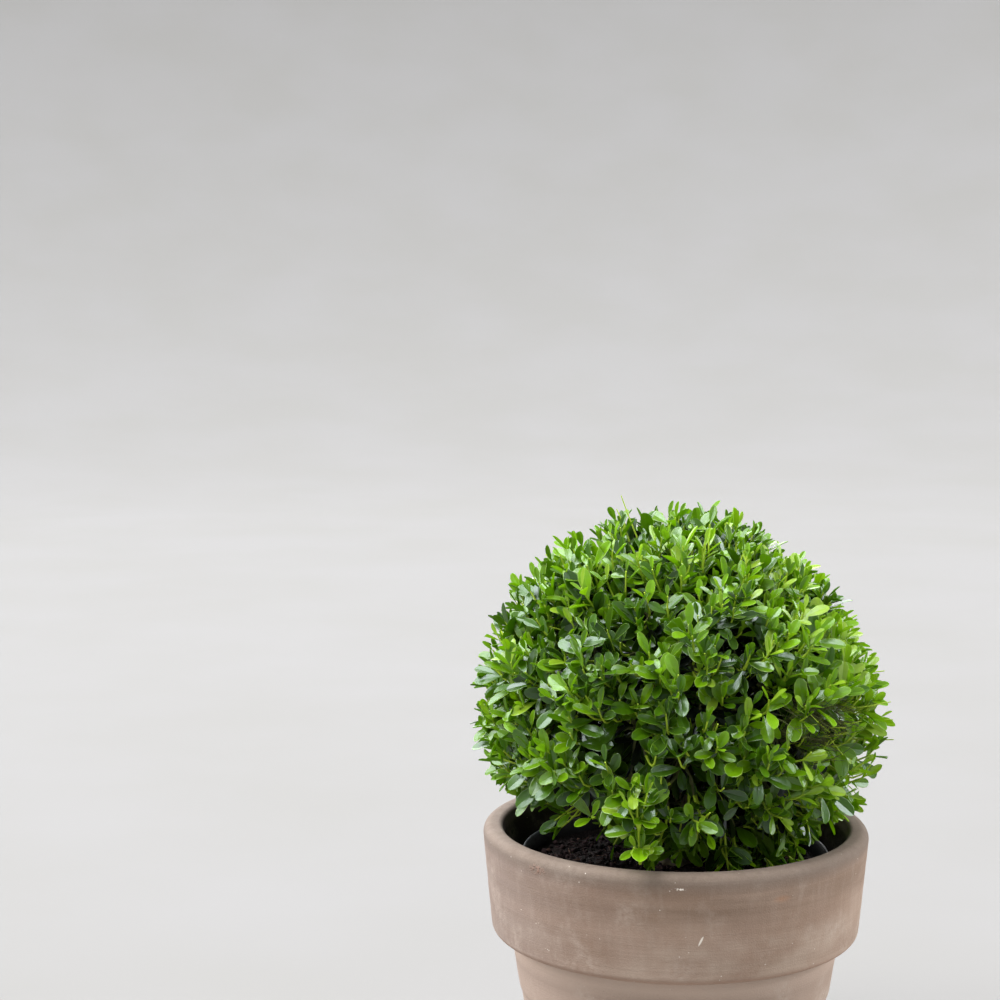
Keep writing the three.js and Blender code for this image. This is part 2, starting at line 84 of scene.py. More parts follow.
# Nursery container
CONTAINER_RIM_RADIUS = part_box("nursery_container")[1].x
CONTAINER_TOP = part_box("nursery_container")[1].z
CONTAINER_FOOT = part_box("nursery_container")[0].z
CONTAINER_FOOT_RADIUS = 0.087
CONTAINER_FOOT_ROUND = 0.002
CONTAINER_WALL = 0.0013
CONTAINER_LIP_OUT = 0.0022
CONTAINER_LIP_HEIGHT = 0.009
CONTAINER_LIP_STEP = 0.0005
CONTAINER_LIP_BEVEL = 0.0012
CONTAINER_LIP_ROLL = 0.0009
CONTAINER_LIP_INSIDE = 0.003
CONTAINER_SIDES = 128
CONTAINER_PITCH = 0.01
CONTAINER_SMOOTH = 35
CLEARANCE = 0.0003

# Compost: a bed that is flat round the trunk and rough farther out. The grains of its roughness each have
# a strength and a size, and the bare margins run from the middle of the bed to the wall
SOIL_TOP = 0.217
SOIL_SWELL = 0.0018
SOIL_WAVES = (0.011, 0.009)
SOIL_SETTLED = 1.2
SOIL_FLAT_RADIUS = 0.024
SOIL_SIDES = 144
SOIL_PITCH = 0.0026
SOIL_MIDDLE = 0.004
SOIL_EDGE = 0.001
SOIL_ROUGH = 0.0016
SOIL_GRAINS = ((1.0, 0.006), (0.6, 0.0027))
ROUGH_FROM = 0.016
ROUGH_OVER = 0.01
CRUMBS = 3600
CRUMB_SIZE = (0.0007, 0.0034)
CRUMB_MARGINS = (0.012, 0.004)
CRUMB_CORNERS = (0.65, 1.25)
CRUMB_SQUASH = (0.6, 1.0)
CRUMB_PROUD = 0.25
CRUMB_SHARES = (0.58, 0.38, 0.04)
CRUMB_SMOOTH = 60
FIBRES = 620
FIBRE_LENGTH = (0.004, 0.015)
FIBRE_MARGINS = (0.014, 0.012)
FIBRE_POINTS = np.array((-0.5, -0.17, 0.17, 0.5))
FIBRE_BOW = 0.25
FIBRE_LIFT = (0.0002, 0.0016)
FIBRE_RADIUS = (0.00018, 0.0006)
FIBRE_TAPER = np.array((0.6, 1, 1, 0.5))
FIBRE_SIDES = 4
FIBRE_SHARES = (0.6, 0.4)
FIBRE_SMOOTH = 50

# Trunk and boughs
TRUNK_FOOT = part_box("trunk")[0].z
TRUNK_HEIGHT = 0.038
TRUNK_FOOT_RADIUS = 0.0086
TRUNK_TIP_RADIUS = 0.0062
TRUNK_LEAN = (0.0025, -0.0015)
TRUNK_SIDES = 40
TRUNK_RINGS = 14
FLARE_OUT = 0.0065
FLARE_HEIGHT = 0.009
FLARE_LOBES = 5
FLARE_LOBE_SHARE = 0.3
LEADER_ROOT_RADIUS = 0.0054
LEADER_BEND = np.array((0.003, 0.002, 0.0))
BOUGH_ROOT_RADIUS = 0.0044
BOUGH_TIP_RADIUS = 0.0028
BOUGH_POINTS = 16
BOUGH_LOW_START = 0.009
BOUGH_STAGGER = 0.011
BOUGH_BEND_RADIUS = 0.026
BOUGH_BEND_RISE = 0.024
BOUGH_TIP_RADIAL = 0.046
BOUGH_TIP_HEIGHT = 0.294
LEADER_TIP_HEIGHT = 0.364
HEART = np.array((0.002, 0.0, 0.290))

# The bark's relief: upright wrinkles and rounder swells, each with its strength and its size along x, y and z
BARK_VOXEL = 0.0008
BARK_ROUNDS = 4
BARK_RELIEF = 0.0004
BARK_GRAINS = ((1.0, (0.0016, 0.0016, 0.008)), (0.5, (0.004, 0.004, 0.004)))
BARK_SMOOTH = 60

# Crown: a clipped ball whose underside draws in towards the pot
CROWN_CENTRE = np.array((0.004, 0.0, 0.345))
CROWN_RADIUS = 0.157
DRAW_IN_LEFT = 0.65
DRAW_IN_RIGHT = 0.15
DRAW_IN_FROM = 0.3
FLAT_SIDE = np.array((0.80, -0.05, 0.60))
FLAT_SIDE_FROM = 0.75
FLATTENED = 0.07
FLAT_TOP = 0.035
LOWEST_TWIG = -68
LOWEST_FORK = -44
SIDE_MASSES = 6
FIRST_AZIMUTH = 90
SIDE_TILT = -10

# Growth, from each bough's tip out to the leaves. Wood is brown up to a share of its length, and green
# from there on: ALL_BROWN lies past its tip
SEED = 1105
GOLDEN_ANGLE = math.pi * (3 - math.sqrt(5))
LINE_POINTS = 6
TWIG_SIDES = 5
ALL_BROWN = 2.0
ALL_GREEN = 0.0
STEM_TURN = 0.016
STEM_END = 0.082
STEM_TIP_RADIUS = 0.002185
PULL_FROM_EDGE = 0.1
FORKS = 60
FORK_DEPTH = 0.060
FORK_BEND = 0.35
FORK_ROOT_RADIUS = 0.0019
BRANCHLETS = 360
BRANCHLET_JITTER = 0.03
BRANCHLET_DEPTH = 0.040
BRANCHLET_SPREAD = 0.006
BRANCHLET_BEND = 0.4
BRANCHLET_RADIUS = 0.00132
INNER_SPRAYS = 420
INNER_JITTER = 0.05
INNER_DEPTH = (0.044, 0.078)
INNER_BEND = 0.004
INNER_RADII = (0.0008, 0.0005)

# Shoots: how deep under the clipped surface they end, how they rise, and where they are thinned out
SHOOTS = 1500
SHOOT_JITTER = 0.045
SHOOT_DEPTH = 0.012
SHOOT_SPREAD = 0.0080
SHOOT_UNEVEN = 0.016
SHOOT_SWELLS = 0.18
SHALLOWEST = 0.004
STRAY_TIP = 0.010
SHOOT_OUTWARD = 0.7
SHOOT_RISE = 1.0
RISE_FROM = -0.75
RISE_OVER = 0.65
LEAST_RISE = 0.1
SHOOT_STRAY = 0.19
SHOOT_STRAIGHT = 0.75
SHOOT_RADII = (0.0011, 0.0006)
SHOOT_BROWN = 0.2
SHOOT_TOLERANCE = 1.1
LEAFY_TIP = 0.010
LEAFY_TOLERANCE = 1.16
LOW_THINNING = 0.35
THINNING_SLOPE = 2.5
REACH_TOLERANCE = 1.06
LEAF_TOLERANCE = 1.075
FRONT_LEAF_TOLERANCE = 1.25
RIM_MARGIN = 0.001
POCKET_RAGGED = 0.7
POCKET_SWELLS = 0.06

# Bare wood: single stems past the leaves, fine twigs at the twiggy places, and thin twigs inside
MISSED_BEND = 0.003
MISSED_RADII = (0.0009, 0.0004)
MISSED_BROWN = 0.3
TWIGGY_TWIGS = 75
TWIGGY_SPREAD = 0.6
TWIGGY_ROOTS = 0.09
TWIGGY_START = (-0.008, 0.012)
TWIGGY_ENDS = 0.006
TWIGGY_BEND = 0.005
TWIGGY_RADII = (0.00034, 0.00016)
TWIGGY_BROWN = (0.6, ALL_BROWN)
TWIGGY_BROWN_SHARES = (0.12, 0.88)
BARE_TWIGS = 260
BARE_START = 0.01
BARE_DEPTH = (0.012, 0.034)
BARE_BEND = 0.006
BARE_RADII = (0.0006, 0.0003)
BARE_BROWN = 0.6

# Leaves on a shoot: their sizes, how they space out and open, and how they turn
LEAF_LENGTH = 0.0214
LEAF_LENGTH_SPREAD = 0.0054
YOUNG_LEAF_SIZES = (0.56, 0.76, 0.90)
VIGOUR_SPREAD = 0.10
VIGOUR_LIMITS = (0.8, 1.25)
LEAVES_ON_SHOOT = 9
LEAVES_ON_BRANCHLET = 6
BARE_ROOT_SHARE = 0.12
FALLEN_SHARE = 0.05
LEAF_SPACING = 0.0050
TIP_SPACING = 0.0026
TIP_LEAF_BACK = 0.0007
SPACING_OPENS_OVER = 4
SPACING_SPREAD = (0.75, 1.3)
SPIRAL_SPREAD = 0.15
TIP_ANGLE = 13
NEXT_ANGLE = 8
WIDEST_ANGLE = 42
ANGLE_SPREAD = 16
LIGHT_TURN = 0.26
LIGHT_OUTWARD = 0.8
LIGHT_FROM_ABOVE = np.array((0.0, 0.0, 0.6))
ROLL_SPREAD = 0.30
SUNLIT_SHARE = 0.13
SUNLIT_FROM = -0.2
SUNLIT_TURN = 4.0
SUNLIT_ROLL = 0.3
BRIGHTEST_SKY = np.array((-0.24, -0.69, 0.68))
CLIPPED_SHARE = 0.045
NARROW_LEAVES = 2

# Leaf shape, as shares of its length, its points at the middle and the tip, its sides, and the kinds of
# leaf that sunlit ones, those at the tips and those cut by the shears have
ACROSS = 5
STATIONS = 5
LEAF_MIDDLE = 13
LEAF_TIP = 26
LEAF_MARGIN = 0.90
MARGIN_ROLL = 0.006
KEEL_DEPTH = 0.022
UPPER, MARGIN, LOWER = range(3)
FLAT_SHAPE = 2
NARROW_SHAPE = 3
CLIPPED_SHAPE = 4
LEAF_SMOOTH = 15
TWIG_SMOOTH = 60

# Tones of leaf, from the oldest deep inside, painted near black as shade, to the young tips, and the rows of
# LEAF_FINISHES that their undersides and margins have; the margins carry a painted highlight
DEEP, DARK, MATURE, FRESH, BRIGHT, YOUNG = range(6)
UNDERSIDES = np.array((6, 7, 7, 7, 8, 8))
MARGINS = np.array((0, 9, 9, 10, 10, 10))

# How fresh the leaves are: sprays differ and tips are freshest. The tones are also painted paler on the
# sides, where more light falls, a little darker at the top, and darker low down, as painted shade
BRANCHLET_TONE = DEEP + 0.3
SPRAY_TONE = MATURE + 0.4
SPRAY_SWELLS = 0.3
SPRAY_UNEVEN = 0.9
SPRAY_SPREAD = 0.9
SPRAY_TIP = 0.6
TONE_PER_LEAF = 0.14
TIP_LEAVES = 3
TONE_SPREAD = 0.45
SIDE_SUN = 1.05
RIGHT_SUN = 0.78
HEIGHT_SUN = -0.15
LOW_SHADE = 0.9
LOW_SHADE_FROM = -0.15
FRONT_TONE = BRIGHT + 0.2
FRONT_TIP = 0.4
FRONT_BOW = (0.0, -0.002, 0.0)
FRONT_TAPER = 0.9

# Wax, and the blue-white of the sky that it mirrors
LEAF_WAX = 0.7
UNDERSIDE_WAX = 0.25
WAX_TINT = "#f0fcff"

# Each leaf material: its own colour, the colour that shines through, its roughness, how much shines
# through, and its wax
LEAF_FINISHES = (
    # The leaves deep inside are painted near black, as shade
    ("old_leaf_in_painted_shade", "#0a1203", "#152603", 0.32, 0.12, LEAF_WAX),
    ("old_leaf", "#304c08", "#608c06", 0.27, 0.28, LEAF_WAX),
    ("mature_leaf", "#486f08", "#8eb804", 0.25, 0.36, LEAF_WAX),
    ("fresh_leaf", "#679008", "#acd206", 0.25, 0.42, LEAF_WAX),
    ("bright_leaf", "#7ca812", "#b8de12", 0.26, 0.44, LEAF_WAX),
    ("young_leaf", "#9ebc34", "#cce836", 0.30, 0.44, LEAF_WAX),
    ("old_leaf_underside", "#2a3c0a", "#4e6f08", 0.52, 0.22, UNDERSIDE_WAX),
    ("leaf_underside", "#638418", "#8fba06", 0.52, 0.42, UNDERSIDE_WAX),
    ("young_leaf_underside", "#8eb030", "#b8de1c", 0.52, 0.46, UNDERSIDE_WAX),
    # The margins are paler than the faces: a painted highlight along the rolled edge
    ("leaf_margin", "#64861c", "#93bc14", 0.36, 0.42, LEAF_WAX),
    ("young_leaf_margin", "#9cba44", "#c8e434", 0.36, 0.48, LEAF_WAX),
)

# Camera: where the photograph was taken from, with its field of view
CAMERA_PLACE = (0.0, -1.6908, 0.7076)
CAMERA_PITCH = 6.872
CAMERA_TURN = 4.666
CAMERA_LENS = 79.2
CAMERA_SENSOR = 36.0

# Studio: a floor that sweeps up all round, and its lights, each with where it comes from, how wide it
# looks from the plant in degrees, and its strength
FLOOR_RADIUS = 4.0
FLOOR_GAP = 0.0003
FLOOR_SIDES = 128
FLOOR_EDGE = 0.001
FLOOR_SMOOTH = 40
SWEEP_ROUND = 6.0
SWEEP_ANGLE = 50
SWEEP_STEPS = 16
SKY_COLOUR = "#eaf0f6"
SKY_STRENGTH = 0.64
LIGHT_COLOUR = "#fcfcff"
LIGHTS = (
    ("light_above", (-0.38, -0.18, 0.9), 48, 6.4),
    ("light_behind", (-0.3, 1.0, 0.6), 36, 2.4),
    ("light_left", (-1.7, 0.40, 1.0), 40, 3.4),
    ("light_right", (1.7, 0.30, 0.9), 44, 4.3),
)

# The sockets of a colour Mix node
MIX_FACTOR, MIX_UNDER, MIX_OVER, MIX_RESULT = 0, 6, 7, 2


def linear(hex_colour):
    """An sRGB hex colour as the linear values that Blender's sockets take."""
    shares = [int(hex_colour[i:i + 2], 16) / 255 for i in (1, 3, 5)]
    return (*[s / 12.92 if s <= 0.04045 else ((s + 0.055) / 1.055) ** 2.4 for s in shares], 1.0)


def add(tree, kind, inputs, output=0, **settings):
    """Adds a shader node and returns one of its outputs. inputs holds, by name or number, a value or the
    output to link from."""
    made = tree.nodes.new(f"ShaderNode{kind}")
    for name, value in settings.items():
        setattr(made, name, value)
    for key, value in inputs.items():
        if isinstance(value, bpy.types.NodeSocket):
            tree.links.new(value, made.inputs[key])
        else:
            made.inputs[key].default_value = value
    return made.outputs[output] if made.outputs else None


def new_material(name):
    made = bpy.data.materials.new(name)
    made.use_nodes = True
    made.node_tree.nodes.clear()
    return made, made.node_tree, add(made.node_tree, "TexCoord", {}, "Object")


def finished(made, tree, surface):
    """Closes a material with its surface, given as a shader or as the inputs of a plain one."""
    if isinstance(surface, dict):
        surface = add(tree, "BsdfPrincipled", surface)
    add(tree, "OutputMaterial", {"Surface": surface})
    return made


def patches(tree, place, size, edges=(0.35, 0.65), stretch=(1, 1, 1), detail=3):
    """A mask of soft patches about size metres across, stretch times that along each axis."""
    scale = [1 / (size * s) for s in stretch]
    mapped = add(tree, "Mapping", {"Vector": place, "Scale": scale})
    spots = add(tree, "TexNoise", {"Vector": mapped, "Scale": 1.0, "Detail": detail})
    return add(tree, "MapRange", {"Value": spots, "From Min": edges[0], "From Max": edges[1]})


def specks(tree, place, apart, edges):
    """A mask of small round specks, some way apart; edges are where each one ends and where it is full."""
    cells = add(tree, "TexVoronoi", {"Vector": place, "Scale": 1 / apart})
    return add(tree, "MapRange", {"Value": cells, "From Min": edges[0], "From Max": edges[1]})


def band(tree, height, low, high, soft):
    """A mask of one band round a turned piece: full from low to high, and fading out over soft metres."""
    off_middle = add(tree, "Math", {0: height, 1: (low + high) / 2}, operation="SUBTRACT")
    distance = add(tree, "Math", {0: off_middle}, operation="ABSOLUTE")
    half = (high - low) / 2
    return add(tree, "MapRange", {"Value": distance, "From Min": half + soft, "From Max": half})


def mark(tree, place, centre, radii, turn=(0, 0, 0), soft=0.5):
    """A mask of one mark on a surface: full inside, and fading out over its outer part."""
    settings = {"Vector": place, "Location": centre, "Rotation": turn, "Scale": radii}
    mapped = add(tree, "Mapping", settings, vector_type="TEXTURE")
    distance = add(tree, "VectorMath", {0: mapped}, "Value", operation="LENGTH")
    return add(tree, "MapRange", {"Value": distance, "From Min": 1.0, "From Max": 1.0 - soft})


def stain(tree, under, over, share, *masks):
    """Lays one colour over another where all the masks meet; share is how strongly."""
    factor = share
    for mask in masks:
        factor = add(tree, "Math", {0: mask, 1: factor}, operation="MULTIPLY")
    inputs = {MIX_FACTOR: factor, MIX_UNDER: under, MIX_OVER: linear(over)}
    return add(tree, "Mix", inputs, MIX_RESULT, data_type="RGBA")


def weathered_earthenware():
    # Thrown and fired clay that has stood outdoors: chalky, without gloss, grey-brown in broad soft patches,
    # with upright streaks from rain, a bloom of lime, and a fine grit that breaks up the light.
    made, tree, place = new_material("weathered_earthenware")
    across = add(tree, "SeparateXYZ", {0: place}, "X")
    height = add(tree, "SeparateXYZ", {0: place}, "Z")
    flat = add(tree, "VectorMath", {0: place, 1: (1, 1, 0)}, operation="MULTIPLY")
    radius = add(tree, "VectorMath", {0: flat}, "Value", operation="LENGTH")

    # Sides, seen from the front, and parts of the pot: where each one starts and where it is full
    left, painted_shade_left_half, right, body, lip, inner_wall = [
        add(tree, "MapRange", {"Value": measure, "From Min": start, "From Max": full})
        for measure, start, full in (
            (across, -0.060, -0.130),
            (across, -0.004, -0.050),
            (across, 0.020, 0.100),
            (height, COLLAR_FOOT_HEIGHT + 0.003, COLLAR_FOOT_HEIGHT),
            (height, POT_HEIGHT - 0.009, POT_HEIGHT - 0.001),
            (radius, RIM_INNER_RADIUS + 0.0015, RIM_INNER_RADIUS - 0.0005),
        )
    ]
    under_rim = band(tree, height, COLLAR_FOOT_HEIGHT + 0.014, POT_HEIGHT - 0.011, 0.005)
    inside = add(tree, "Math", {0: inner_wall, 1: under_rim}, operation="MULTIPLY")

    # Marks that also show in the relief
    pit = specks(tree, place, 0.0034, (0.09, 0.04))
    here = patches(tree, place, 0.012, (0.5, 0.6))
    pitted = add(tree, "Math", {0: pit, 1: here}, operation="MULTIPLY")
    rough = mark(tree, place, (-0.1015, -0.1103, 0.2410), (0.009, 0.012, 0.0045), soft=0.8)
    broken = patches(tree, place, 0.0022, (0.42, 0.58))
    crust = add(tree, "Math", {0: rough, 1: broken}, operation="MULTIPLY")
    grit = patches(tree, place, 0.0011, (0.2, 0.8), detail=4)
    rings = patches(tree, place, 0.0016, (0.25, 0.75), (60, 60, 1), 2)

    colour = linear("#a58f7f")
    step = COLLAR_FOOT_HEIGHT
    for over, share, *masks in (
        # Broad patches of the clay, and softer ones where it stays damp
        ("#8f7663", 1.0, patches(tree, place, 0.070, (0.3, 0.7))),
        ("#775d4e", 0.45, patches(tree, place, 0.026, (0.4, 0.72), (3, 3, 1))),
        # The soft dark band under the lip, and the paler foot of the collar
        ("#6b5646", 0.62, band(tree, height, 0.221, 0.233, 0.012),
         patches(tree, place, 0.011, (0.25, 0.6), (8, 8, 1))),
        ("#b9a999", 0.45, band(tree, height, 0.173, 0.191, 0.014),
         patches(tree, place, 0.026, (0.42, 0.64), (1.6, 1.6, 1))),
        # Paler and greyer at the far left; painted shade darkens the clay left of the middle, and a little on
        # the right side
        ("#8d8581", 0.65, left),
        ("#685347", 0.50, painted_shade_left_half),
        ("#75604f", 0.20, right),
        # Rain has run down it, and a hand or a rag has gone round it
        ("#74604f", 0.14, patches(tree, place, 0.0042, (0.35, 0.75), (1, 1, 7), 4)),
        ("#b8aa9d", 0.14, patches(tree, place, 0.0055, (0.5, 0.8), (1, 1, 5), 4)),
        ("#7a6655", 0.22, patches(tree, place, 0.0022, (0.35, 0.75), (40, 40, 1))),
        # The body is paler than the collar. Just below the collar a band of painted light lifts the collar's
        # shadow, the body's right side is painted in shade, and the crease under the collar is painted as
        # shade: a reddish line with a dark brown core
        ("#a89486", 0.60, body),
        ("#d0b8a7", 0.66, band(tree, height, step - 0.010, step - 0.003, 0.010)),
        ("#8c7a6c", 0.40, right, body),
        ("#9a6a50", 0.30, band(tree, height, step - 0.001, step + 0.003, 0.003)),
        ("#4a2b1b", 0.85, band(tree, height, step - 0.0009, step + 0.0009, 0.0003)),
        # Inside, the clay is wet and stained by compost, and painted near black as shade
        ("#18110f", 0.96, inside),
        # A bloom of lime, and a lip painted dark, as shade that the crown casts on it and as damp clay, with
        # a little painted light on its top, which is also worn
        ("#bdb0a3", 0.42, patches(tree, place, 0.034, (0.52, 0.74)),
         patches(tree, place, 0.004, (0.25, 0.7))),
        ("#564b42", 0.80, band(tree, height, 0.245, 0.254, 0.010)),
        ("#a39384", 0.12, lip, patches(tree, place, 0.006, (0.2, 0.6))),
        # White specks and dark pits
        ("#e2d8cb", 0.70, specks(tree, place, 0.0055, (0.10, 0.05)),
         patches(tree, place, 0.018, (0.56, 0.62))),
        ("#6b584b", 0.50, pitted),
        # A scratch, a breath of rust, a crust, and flecks of chalk
        ("#e6ddd0", 0.85,
         mark(tree, place, (0.0194, -0.1448, 0.2009), (0.0009, 0.006, 0.0046), (0, 0.45, 0), 0.35)),
        ("#a5714b", 0.35, mark(tree, place, (0.078, -0.1266, 0.2284), (0.008, 0.02, 0.0035), soft=0.9)),
        ("#8a6352", 0.55, crust),
        ("#e4dacd", 1.0, mark(tree, place, (0.0035, -0.1495, 0.2405), (0.0060, 0.006, 0.0012), soft=0.6),
         patches(tree, place, 0.0016, (0.45, 0.6))),
        ("#bfb2a4", 0.10, grit),
    ):
        colour = stain(tree, colour, over, share, *masks)

    # Fine rings left by the hand while the pot turned, then grit, the crust and the pits
    surface = None
    for relief, depth, strength in ((rings, 0.00012, 0.5), (grit, 0.00022, 0.55), (crust, 0.0006, 0.8)):
        inputs = {"Height": relief, "Distance": depth, "Strength": strength}
        if surface is not None:
            inputs["Normal"] = surface
        surface = add(tree, "Bump", inputs)
    inputs = {"Height": pitted, "Distance": 0.0004, "Strength": 0.6, "Normal": surface}
    surface = add(tree, "Bump", inputs, invert=True)
    dull = {"Value": patches(tree, place, 0.02), "To Min": 0.82, "To Max": 0.95}
    sheen = {"Value": inside, "To Min": 0.25, "To Max": 0.04}
    return finished(made, tree, {
        "Base Color": colour,
        "Roughness": add(tree, "MapRange", dull),
        "Specular IOR Level": add(tree, "MapRange", sheen),
        "Normal": surface,
    })


def black_polypropylene():
    # Thin moulded polypropylene, as sold with the plant: near black, satin, dusted with dry compost.
    made, tree, place = new_material("moulded_black_polypropylene")
    height = add(tree, "SeparateXYZ", {0: place}, "Z")
    dust = patches(tree, place, 0.012, (0.5, 0.75))
    fine = patches(tree, place, 0.0012, (0.4, 0.7))
    colour = stain(tree, linear("#050506"), "#1b1816", 0.5, dust, fine)
    # Its rim is painted a paler grey: a painted highlight along it, and partly rubbed
    fade = {"Value": height, "From Min": CONTAINER_TOP - 0.0010, "From Max": CONTAINER_TOP - 0.0003}
    colour = stain(tree, colour, "#3d4042", 0.7, add(tree, "MapRange", fade))
    gloss = {"Value": dust, "To Min": 0.38, "To Max": 0.66}
    return finished(made, tree, {
        "Base Color": colour,
        "Roughness": add(tree, "MapRange", gloss),
        "Specular IOR Level": 0.16,
        "IOR": 1.49,
        "Normal": add(tree, "Bump", {"Height": fine, "Distance": 0.0001, "Strength": 0.3}),
    })


def peat(name, dark, light):
    # Peat and composted bark, damp: almost black in the hollows, brown where the crumbs have dried.
    made, tree, place = new_material(name)
    dry = patches(tree, place, 0.010, (0.35, 0.7))
    crumbs = patches(tree, place, 0.0016, (0.3, 0.7), detail=5)
    return finished(made, tree, {
        "Base Color": stain(tree, linear(dark), light, 1.0, dry, crumbs),
        "Roughness": 0.93,
        "Specular IOR Level": 0.2,
        "Normal": add(tree, "Bump", {"Height": crumbs, "Distance": 0.0006, "Strength": 0.9}),
    })


def holly_bark(name, under, over, wrinkle, pore_share=0.5):
    # Smooth thin bark with short upright wrinkles and pale breathing pores, which young shoots hardly have.
    made, tree, place = new_material(name)
    wrinkles = patches(tree, place, 0.0011, (0.3, 0.7), (1, 1, 5))
    colour = stain(tree, linear(under), over, 1.0, patches(tree, place, 0.007, (0.35, 0.7)))
    colour = stain(tree, colour, wrinkle, 0.35, wrinkles)
    return finished(made, tree, {
        "Base Color": stain(tree, colour, "#b4a27e", pore_share, specks(tree, place, 0.0026, (0.16, 0.08))),
        "Roughness": 0.68,
        "Normal": add(tree, "Bump", {"Height": wrinkles, "Distance": 0.0003, "Strength": 0.6}),
    })


def holly_leaf(name, face, light_through, gloss, glow, wax):
    # A thin leathery leaf under a smooth wax layer: it mirrors the sky in a soft pale sheen, and the sun
    # behind it shows through yellow-green. face is its own colour, light_through the colour of that glow.
    made, tree, place = new_material(name)
    mottle = patches(tree, place, 0.004, (0.3, 0.7), detail=2)
    puckers = patches(tree, place, 0.0022, (0.2, 0.8), detail=2)
    surface = add(tree, "Bump", {"Height": puckers, "Distance": 0.00016, "Strength": 0.35})
    waxed = add(tree, "BsdfPrincipled", {
        "Base Color": stain(tree, linear(face), "#000000", 0.22, mottle),
        "Roughness": gloss,
        "IOR": 1.54,
        "Specular IOR Level": wax,
        "Specular Tint": linear(WAX_TINT),
        "Normal": surface,
    })
    lit = add(tree, "BsdfTranslucent", {"Color": linear(light_through), "Normal": surface})
    return finished(made, tree, add(tree, "MixShader", {0: glow, 1: waxed, 2: lit}))


def pick_nothing():
    if bpy.context.object and bpy.context.object.mode != "OBJECT":
        bpy.ops.object.mode_set(mode="OBJECT")
    bpy.ops.object.select_all(action="DESELECT")


def pick(piece):
    pick_nothing()
    piece.select_set(True)
    bpy.context.view_layer.objects.active = piece


def arc(middle, radii, angles, steps):
    """Points of a rounded corner in an outline of (radius, height), from one angle to another."""
    start, end = angles
    turns = [math.radians(start + (end - start) * i / steps) for i in range(steps + 1)]
    return [(middle[0] + radii[0] * math.cos(a), middle[1] + radii[1] * math.sin(a)) for a in turns]


def with_rings(outline, pitch):
    """The same outline with points added so that no two lie farther apart than the pitch."""
    finer = [outline[0]]
    for (r0, z0), (r1, z1) in zip(outline, outline[1:]):
        steps = max(1, math.ceil(math.hypot(r1 - r0, z1 - z0) / pitch))
        finer += [(r0 + (r1 - r0) * i / steps, z0 + (z1 - z0) * i / steps) for i in range(1, steps + 1)]
    return finer


def turned(name, outline, sides):
    """A turned piece: a disc drawn up ring by ring along an outline of (radius, height)."""
    pick_nothing()
    radius, height = outline[0]
    bpy.ops.mesh.primitive_circle_add(
        vertices=sides, radius=radius, fill_type="NGON", location=(0, 0, height)
    )
    piece = bpy.context.object
    piece.name = piece.data.name = name
    bpy.ops.object.transform_apply()
    bpy.ops.object.mode_set(mode="EDIT")
    bpy.ops.mesh.select_all(action="SELECT")
    for next_radius, next_height in outline[1:]:
        bpy.ops.mesh.extrude_region_move(TRANSFORM_OT_translate={"value": (0, 0, next_height - height)})
        widen = next_radius / radius
        bpy.ops.transform.resize(value=(widen, widen, 1), center_override=(0, 0, next_height))
        radius, height = next_radius, next_height
    bpy.ops.mesh.select_all(action="SELECT")
    bpy.ops.mesh.normals_make_consistent(inside=False)
    bpy.ops.object.mode_set(mode="OBJECT")
    return piece


def points_of(piece):
    points = np.empty(len(piece.data.vertices) * 3)
    piece.data.vertices.foreach_get("co", points)
    return points.reshape(-1, 3)


def set_points(piece, points):
    piece.data.vertices.foreach_set("co", points.ravel())
    piece.data.update()


def smoothed(piece, degrees):
    pick(piece)
    bpy.ops.object.shade_smooth_by_angle(angle=math.radians(degrees))


def hand_in(piece, nodes, materials):
    """Gives a finished piece its materials and its place in the frame."""
    for each in materials:
        piece.data.materials.append(each)
    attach(piece, "root")
    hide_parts(*nodes)


